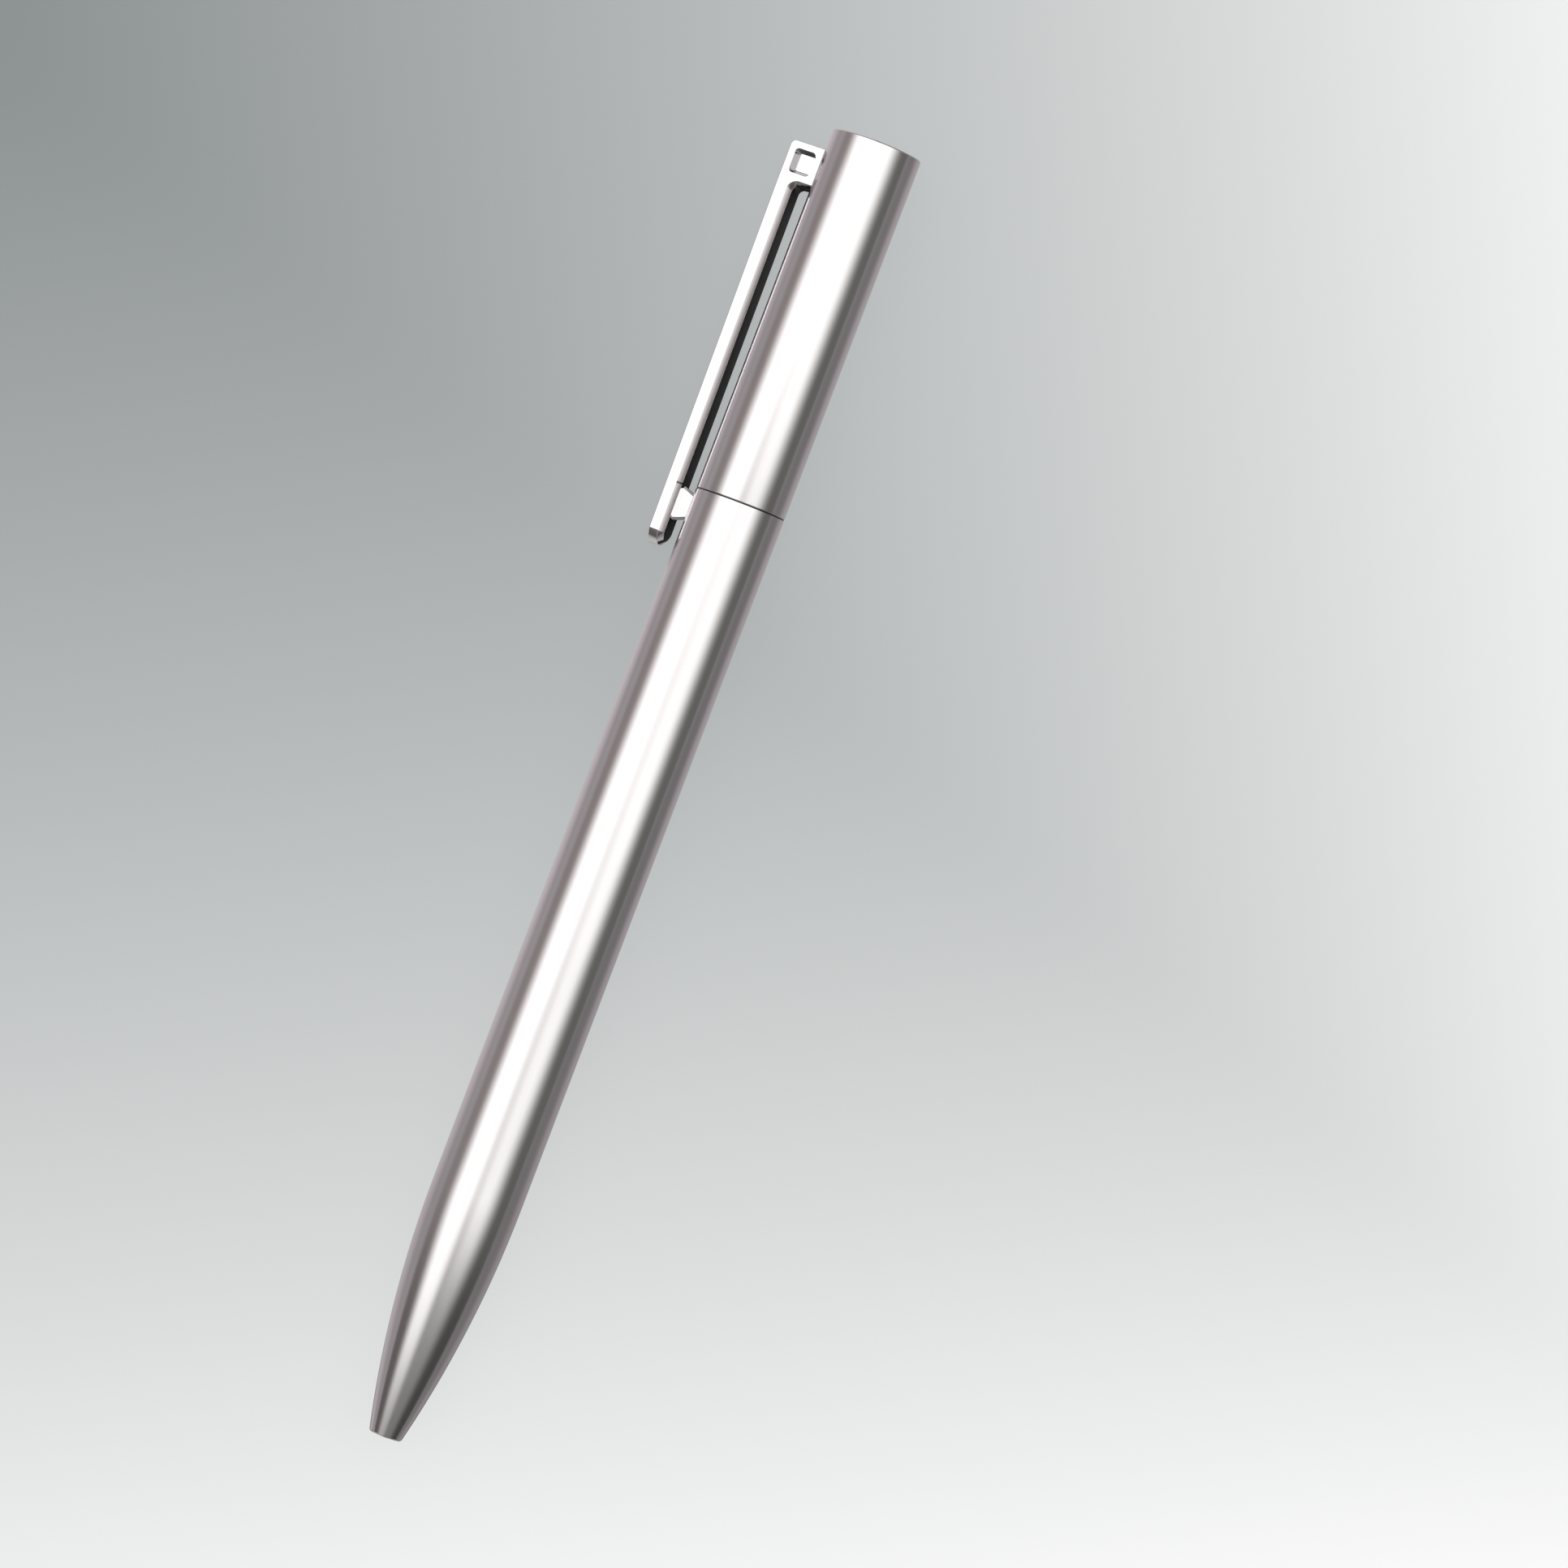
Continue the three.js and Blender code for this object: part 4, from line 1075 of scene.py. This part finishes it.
ferrule = piece("threaded_ferrule_turned", threaded(
    insert_start, {"Root_radius": THREAD_ROOT, **big_thread}, THREAD_SIDES, [
        (insert_end, THREAD_ROOT),
        (insert_end + GAP, THREAD_ROOT),
        (insert_end + GAP, neck_radius),
        (groove_middle - 0.4, neck_radius),
        (groove_middle - 0.4, groove_floor),
        (groove_middle + 0.4, groove_floor),
        (groove_middle + 0.4, neck_radius),
        (ferrule_end, neck_radius),
        (ferrule_end, THREAD_ROOT + THREAD_GAP),
        (guide_floor, THREAD_ROOT + THREAD_GAP),
        (guide_floor, REFILL_BORE),
        (ferrule_start, REFILL_BORE),
        (ferrule_start, THREAD_ROOT),
        (insert_start, THREAD_ROOT),
    ]))
dress(ferrule, "front", "turned_brass", "threaded_ferrule")

# %% The rubber ring in the neck's groove
RING_SECTION = 0.225
ring_rows = arc_points((groove_middle, (BORE + groove_floor) / 2), RING_SECTION, 0, 345, 23)
friction_ring = turned("friction_ring_rubber", ring_rows, THREAD_SIDES)
dress(friction_ring, "front", "black_rubber", "friction_ring")

# %% The clip's screws
HEAD_SEAT = TANG_FLOOR - 0.8
HEAD_RADIUS = 0.8
SHANK = 0.34
small_thread = {"Length": 2.1, "Depth": 0.08, "Pitch": 0.25, "Run_out": 0.2, "Rings": 85}


def clip_screw(name, at):
    """A slotted screw that stands with its head inside the barrel and its thread in the tang."""
    screw = loose("screw", threaded(
        0.35, {"Root_radius": SHANK, **small_thread}, 40,
        [(-0.5, 0), (-0.5, HEAD_RADIUS), (0, HEAD_RADIUS), (0, 0.42), (0.27, 0.42), (0.35, SHANK)],
        [(2.45, SHANK), (2.65, 0.24), (2.65, 0)]))
    bm = combined(screw, [("DIFFERENCE", block("slot", (-0.6, -0.28), (-0.125, 0.125), (-1, 1)))])
    stood_across(bm, at, HEAD_SEAT)
    return piece(name, bm)


for node, at in zip(("clip_screw_lower", "clip_screw_upper"), SCREW_STATIONS):
    dress(clip_screw(node + "_cut", at), "rear", "plain_steel", node)

# %% [markdown]
# ## Nodes kept from the frame
# The other parts inside the barrels keep the shape of the solid model: the guide tube, the sleeve
# with its winding slot, the ring that holds it, the plunger, its pin, the ink and the plate behind
# the clip. Each node gets the finish that its record names.

# %% Finishes on the kept nodes
for entry in frame["record"]["subparts"]:
    kept = bpy.data.objects[entry["node"]]
    finish = FINISHES[entry["material_slot"]]
    for holder in kept.material_slots:
        holder.material = finish
    if not kept.material_slots:
        kept.data.materials.append(finish)

# %% [markdown]
# ## Camera
# The photograph is taken from straight above with a long lens. The picture's up direction is found
# from the pixels of the pen's two ends, and the camera stands where the middle of the pen falls on
# its pixel.

# %% The camera
PICTURE = 1932
TIP_PIXEL = Vector((475.2, 1767.0))
CAP_PIXEL = Vector((1080.0, 181.0))
PIXELS_PER_MM = 11.87
CAMERA_HEIGHT = 0.658

run = CAP_PIXEL - TIP_PIXEL
camera_turn = -math.atan2(-run.y, run.x)
right = Vector((math.cos(camera_turn), math.sin(camera_turn)))
up = Vector((-math.sin(camera_turn), math.cos(camera_turn)))
middle_pixel = (TIP_PIXEL + CAP_PIXEL) / 2
offset = middle_pixel - Vector((PICTURE / 2, PICTURE / 2))
pen_middle = Vector((front_low.x + PEN_LENGTH * MM / 2, AXIS_Y))
camera_over = pen_middle - (right * offset.x - up * offset.y) * MM / PIXELS_PER_MM

camera_data = bpy.data.cameras.new("camera")
camera_data.sensor_width = 36.0
camera_data.lens = 36.0 * PIXELS_PER_MM * CAMERA_HEIGHT / MM / PICTURE
camera_data.clip_start = 0.01
camera_data.clip_end = 20.0
camera = placed("camera", camera_data)
camera.location = (*camera_over, AXIS_Z + CAMERA_HEIGHT)
camera.rotation_euler = (0, 0, camera_turn)
bpy.context.scene.camera = camera
print(f"camera over {camera_over.x / MM:.1f}, {camera_over.y / MM:.1f} mm, lens {camera_data.lens:.1f}")

# %% [markdown]
# ## Table
# The photograph's ground is pale and runs from cool grey in one corner to near white in the other.
# So its tone is written as two gentle slopes, one across the picture and one down it, and the
# lighter of the two wins. Most of the table shines with its own colour for the camera, and the rest
# is lit, so that the pen keeps a soft shadow. In the metal the table shows a painted reflection: a
# slightly warm grey of its own, a little less of it than for the camera, set by distance from the
# pen. It is painted dark under the barrel and under the clip, a painted shadow, light next to the
# pen and darker again further away, and it fades towards the nose.

# %% Helpers for colours by rule
def linear(value):
    value /= 255
    return value / 12.92 if value <= 0.04045 else ((value + 0.055) / 1.055) ** 2.4


def ramp(tree, factor, stops):
    node = tree.nodes.new("ShaderNodeValToRGB")
    elements = node.color_ramp.elements
    while len(elements) < len(stops):
        elements.new(0.5)
    for element, (position, colour) in zip(elements, stops):
        element.position = position
        element.color = (*colour, 1)
    tree.links.new(factor, node.inputs["Fac"])
    return node.outputs["Color"]


def by_rows(tree, value, rows):
    """A level that follows rows of (value, level)."""
    low, high = rows[0][0], rows[-1][0]
    share = ranged(tree, value, 0.0, 1.0, low, high)
    return ramp(tree, share, [((at - low) / (high - low), (level,) * 3) for at, level in rows])


def dot(tree, vector, direction):
    node = tree.nodes.new("ShaderNodeVectorMath")
    node.operation = "DOT_PRODUCT"
    node.inputs[1].default_value = direction
    tree.links.new(vector, node.inputs[0])
    return node.outputs["Value"]


# %% The table
TABLE_HALF = 12.0
TABLE_GLOW = 0.8
MORE_FOR_CAMERA = 0.1
# Painted reflection of the table in the metal: its colour, and its level by distance from the pen in mm.
# Zero under the barrel and the clip is painted shadow, and the fades darken it towards the nose.
PAINTED_GROUND_REFLECTION = (0.50, 0.475, 0.485)
REFLECTION_FAR_SIDE = ((-30, 0.24), (-17, 0.28), (-10, 0.75), (-7, 0.85), (-5.2, 0.85), (-4, 0.0))
REFLECTION_FADE_FAR_SIDE = ((-62, 0.55), (-48, 0.66), (-38, 0.76), (-13, 0.9), (10, 1.0))
REFLECTION_CLIP_SIDE = ((4, 0.0), (5.6, 1.25), (8, 1.25), (13, 1.0), (20, 0.66), (45, 0.78))
REFLECTION_FADE_CLIP_SIDE = ((-60, 0.75), (-48, 0.78), (-38, 0.85), (-13, 0.95), (10, 1.0))
REFLECTION_UNDER_CLIP = ((9, 0.0), (11, 1.0), (13, 1.0), (20, 0.66), (45, 0.78))
TABLE_LIFT = 1.035
# Tones out of 255: the first, the rise to the last, its bow, and what the other way takes or adds
TONES_ACROSS = (140, 82, 16, -9)
TONES_DOWN = (137, 80, 18, 13)
SOFT_CREASE = 6 / 255
DARKEST_STOP = 128
COOLNESS = 6

table_bm = bmesh.new()
bmesh.ops.create_grid(table_bm, x_segments=2, y_segments=2, size=TABLE_HALF)
table_mesh = bpy.data.meshes.new("table")
table_bm.to_mesh(table_mesh)
table_bm.free()
table = placed("table", table_mesh)

table_paint = bpy.data.materials.new("table_paint")
table_paint.use_nodes = True
tree = table_paint.node_tree
tree.nodes.clear()
place = tree.nodes.new("ShaderNodeTexCoord").outputs["Object"]
table_scale = PIXELS_PER_MM / MM * CAMERA_HEIGHT / (CAMERA_HEIGHT + AXIS_Z) / PICTURE
across = math_node(tree, "ADD", dot(tree, place, (*(right * table_scale), 0)),
                   0.5 - camera_over.dot(right) * table_scale)
down = math_node(tree, "ADD", dot(tree, place, (*(up * -table_scale), 0)),
                 0.5 + camera_over.dot(up) * table_scale)


def sloped(share, other, start, slope, bow, aside):
    """A tone from 0 to 1 that rises along a share of the picture, a little faster at its end."""
    rise = math_node(tree, "MULTIPLY_ADD", share, bow / 255, slope / 255)
    risen = math_node(tree, "ADD", math_node(tree, "MULTIPLY", share, rise), start / 255)
    return math_node(tree, "ADD", risen, math_node(tree, "MULTIPLY", other, aside / 255))


lighter = math_node(tree, "SMOOTH_MAX", sloped(across, down, *TONES_ACROSS),
                    sloped(down, across, *TONES_DOWN), SOFT_CREASE)
table_stops = []
for tone in range(DARKEST_STOP, 256, 18):
    cool = COOLNESS * (255 - tone) / (255 - DARKEST_STOP)
    shade = (linear(tone), linear(tone + cool), linear(tone + cool))
    table_stops.append((tone / 255, tuple(level * TABLE_LIFT for level in shade)))
colour = ramp(tree, lighter, table_stops)
lit = tree.nodes.new("ShaderNodeBsdfDiffuse")
shine = tree.nodes.new("ShaderNodeEmission")
rays = tree.nodes.new("ShaderNodeLightPath")
from_pen = math_node(tree, "SUBTRACT", dot(tree, place, (0, 1 / MM, 0)), AXIS_Y / MM)
along_pen = dot(tree, place, (1 / MM, 0, 0))
foot_x = front_low.x / MM + FOOT_END
block_x = front_low.x / MM + BLOCK_END
# Painted reflection and painted shadow: the table's level in the metal, set by where it lies round the
# pen.
beside = by_rows(
    tree, along_pen, ((foot_x - 2, 0.0), (foot_x + 2, 1.0), (block_x - 2, 1.0), (block_x, 0.0)))
clip_shadow_mask = math_node(tree, "MULTIPLY", beside, ranged(tree, from_pen, 0.0, 1.0, 3.9, 4.1))
clip_side_reflection = blended(tree, clip_shadow_mask, by_rows(tree, from_pen, REFLECTION_CLIP_SIDE),
                    by_rows(tree, from_pen, REFLECTION_UNDER_CLIP))
clip_side_reflection = math_node(tree, "MULTIPLY", clip_side_reflection, by_rows(tree, along_pen, REFLECTION_FADE_CLIP_SIDE))
far_side_reflection = math_node(tree, "MULTIPLY", by_rows(tree, from_pen, REFLECTION_FAR_SIDE),
                     by_rows(tree, along_pen, REFLECTION_FADE_FAR_SIDE))
painted_reflection = math_node(tree, "ADD", clip_side_reflection, far_side_reflection)
reflection_in_metal = math_node(tree, "MULTIPLY", rays.outputs["Is Glossy Ray"], painted_reflection)
seen = math_node(tree, "MAXIMUM", rays.outputs["Is Camera Ray"], reflection_in_metal)
seen = math_node(tree, "MAXIMUM", seen, rays.outputs["Is Transmission Ray"])
tree.links.new(seen, shine.inputs["Strength"])
tree.links.new(colour, lit.inputs["Color"])
own = blended(tree, rays.outputs["Is Glossy Ray"], colour, PAINTED_GROUND_REFLECTION)
tree.links.new(own, shine.inputs["Color"])
both = tree.nodes.new("ShaderNodeMixShader")
more = math_node(tree, "MULTIPLY", rays.outputs["Is Camera Ray"], MORE_FOR_CAMERA)
tree.links.new(math_node(tree, "ADD", more, TABLE_GLOW), both.inputs["Fac"])
tree.links.new(lit.outputs[0], both.inputs[1])
tree.links.new(shine.outputs[0], both.inputs[2])
output = tree.nodes.new("ShaderNodeOutputMaterial")
tree.links.new(both.outputs[0], output.inputs["Surface"])
table_mesh.materials.append(table_paint)
print(f"table {2 * TABLE_HALF:.0f} m wide, its colour from {len(tree.nodes)} nodes")

# %% [markdown]
# ## Light
# A polished tube shows the room as stripes along it, because each line of the barrel mirrors one
# angle of the room. So the room is written by angle, as a studio is set up round such a pen: one
# broad soft light overhead whose edges fade out, a faint seam along its middle, and darker walls
# beyond it. Two angles place everything: how far a direction leans from straight up towards the
# clip's side, and how far it leans along the pen towards the cap end.

# %% Levels of the light by angle in degrees
LIGHT_LEVEL = 1.25
LIGHT_BY_LEAN = ((-70, 0.0), (-62, 0.12), (-54, 0.36), (-46, 0.68), (-38, 0.95), (-32, 1.0),
                 (44, 1.0), (50, 0.9), (56, 0.58), (62, 0.30), (68, 0.10), (72, 0.0))
CLIP_SIDE_ALONG = ((-40, 0.12), (-28, 0.36), (-22, 0.74), (-15, 1.0), (30, 1.0), (45, 0.45),
                   (75, 0.15))
FAR_SIDE_ALONG = ((-40, 0.08), (-28, 0.12), (-22, 0.17), (-15, 0.32), (-8, 0.72), (-4, 0.88),
                  (-2, 0.95), (0, 1.0), (45, 1.0), (65, 0.4), (75, 0.2))
CLIP_SIDE_FROM = ((0, 0.0), (20, 1.0))
SEAM_BY_LEAN = ((-17, 0.0), (-9, 0.6), (-2, 1.0), (4, 0.8), (9, 0.0))
SEAM_ALONG = ((-22, 0.0), (-15, 0.15), (-8, 0.42), (-4, 0.36), (-2, 0.26), (0, 0.17), (5, 0.0))
WALLS_FAR_SIDE = (0.145, 0.140, 0.135)
WALLS_CLIP_SIDE = (0.285, 0.245, 0.245)
WALLS_ALONG = ((-27, 0.45), (-15, 0.5), (-8, 0.8), (-3, 1.0))
NARROWER_ALONG = ((-16, 1.0), (-6, 0.0))
NARROWER_BY = 0.13

# %% The room
world = bpy.data.worlds.new("room")
bpy.context.scene.world = world
world.use_nodes = True
room = world.node_tree
room.nodes.clear()

direction = room.nodes.new("ShaderNodeTexCoord").outputs["Generated"]
to_clip = dot(room, direction, (0, 1, 0))
to_cap = dot(room, direction, (1, 0, 0))
upwards = dot(room, direction, (0, 0, 1))
along = math_node(room, "MULTIPLY", math_node(room, "ARCSINE", to_cap), math.degrees(1))
narrower = math_node(room, "MULTIPLY", by_rows(room, along, NARROWER_ALONG), NARROWER_BY)
degrees = math_node(room, "MULTIPLY", math_node(room, "ADD", narrower, 1), math.degrees(1))
lean = math_node(room, "MULTIPLY", math_node(room, "ARCTAN2", to_clip, upwards), degrees)
half = by_rows(room, lean, CLIP_SIDE_FROM)
fade = blended(
    room, half, by_rows(room, along, FAR_SIDE_ALONG), by_rows(room, along, CLIP_SIDE_ALONG))
seam = math_node(
    room, "MULTIPLY", by_rows(room, lean, SEAM_BY_LEAN), by_rows(room, along, SEAM_ALONG))
light = math_node(room, "MULTIPLY", by_rows(room, lean, LIGHT_BY_LEAN), fade)
light = math_node(room, "MULTIPLY", light, math_node(room, "SUBTRACT", 1, seam))
overhead = room.nodes.new("ShaderNodeBackground")
overhead.inputs["Color"].default_value = (1, 1, 1, 1)
room.links.new(math_node(room, "MULTIPLY", light, LIGHT_LEVEL), overhead.inputs["Strength"])
walls = room.nodes.new("ShaderNodeBackground")
sides = ranged(room, to_clip, 0.0, 1.0, -0.8, 0.8)
room.links.new(blended(room, sides, WALLS_FAR_SIDE, WALLS_CLIP_SIDE), walls.inputs["Color"])
room.links.new(by_rows(room, along, WALLS_ALONG), walls.inputs["Strength"])
whole = room.nodes.new("ShaderNodeAddShader")
room.links.new(overhead.outputs[0], whole.inputs[0])
room.links.new(walls.outputs[0], whole.inputs[1])
output = room.nodes.new("ShaderNodeOutputWorld")
room.links.new(whole.outputs[0], output.inputs["Surface"])
print("room written by", len(room.nodes), "nodes")

# %% View and finish
bpy.context.scene.view_settings.view_transform = "Standard"
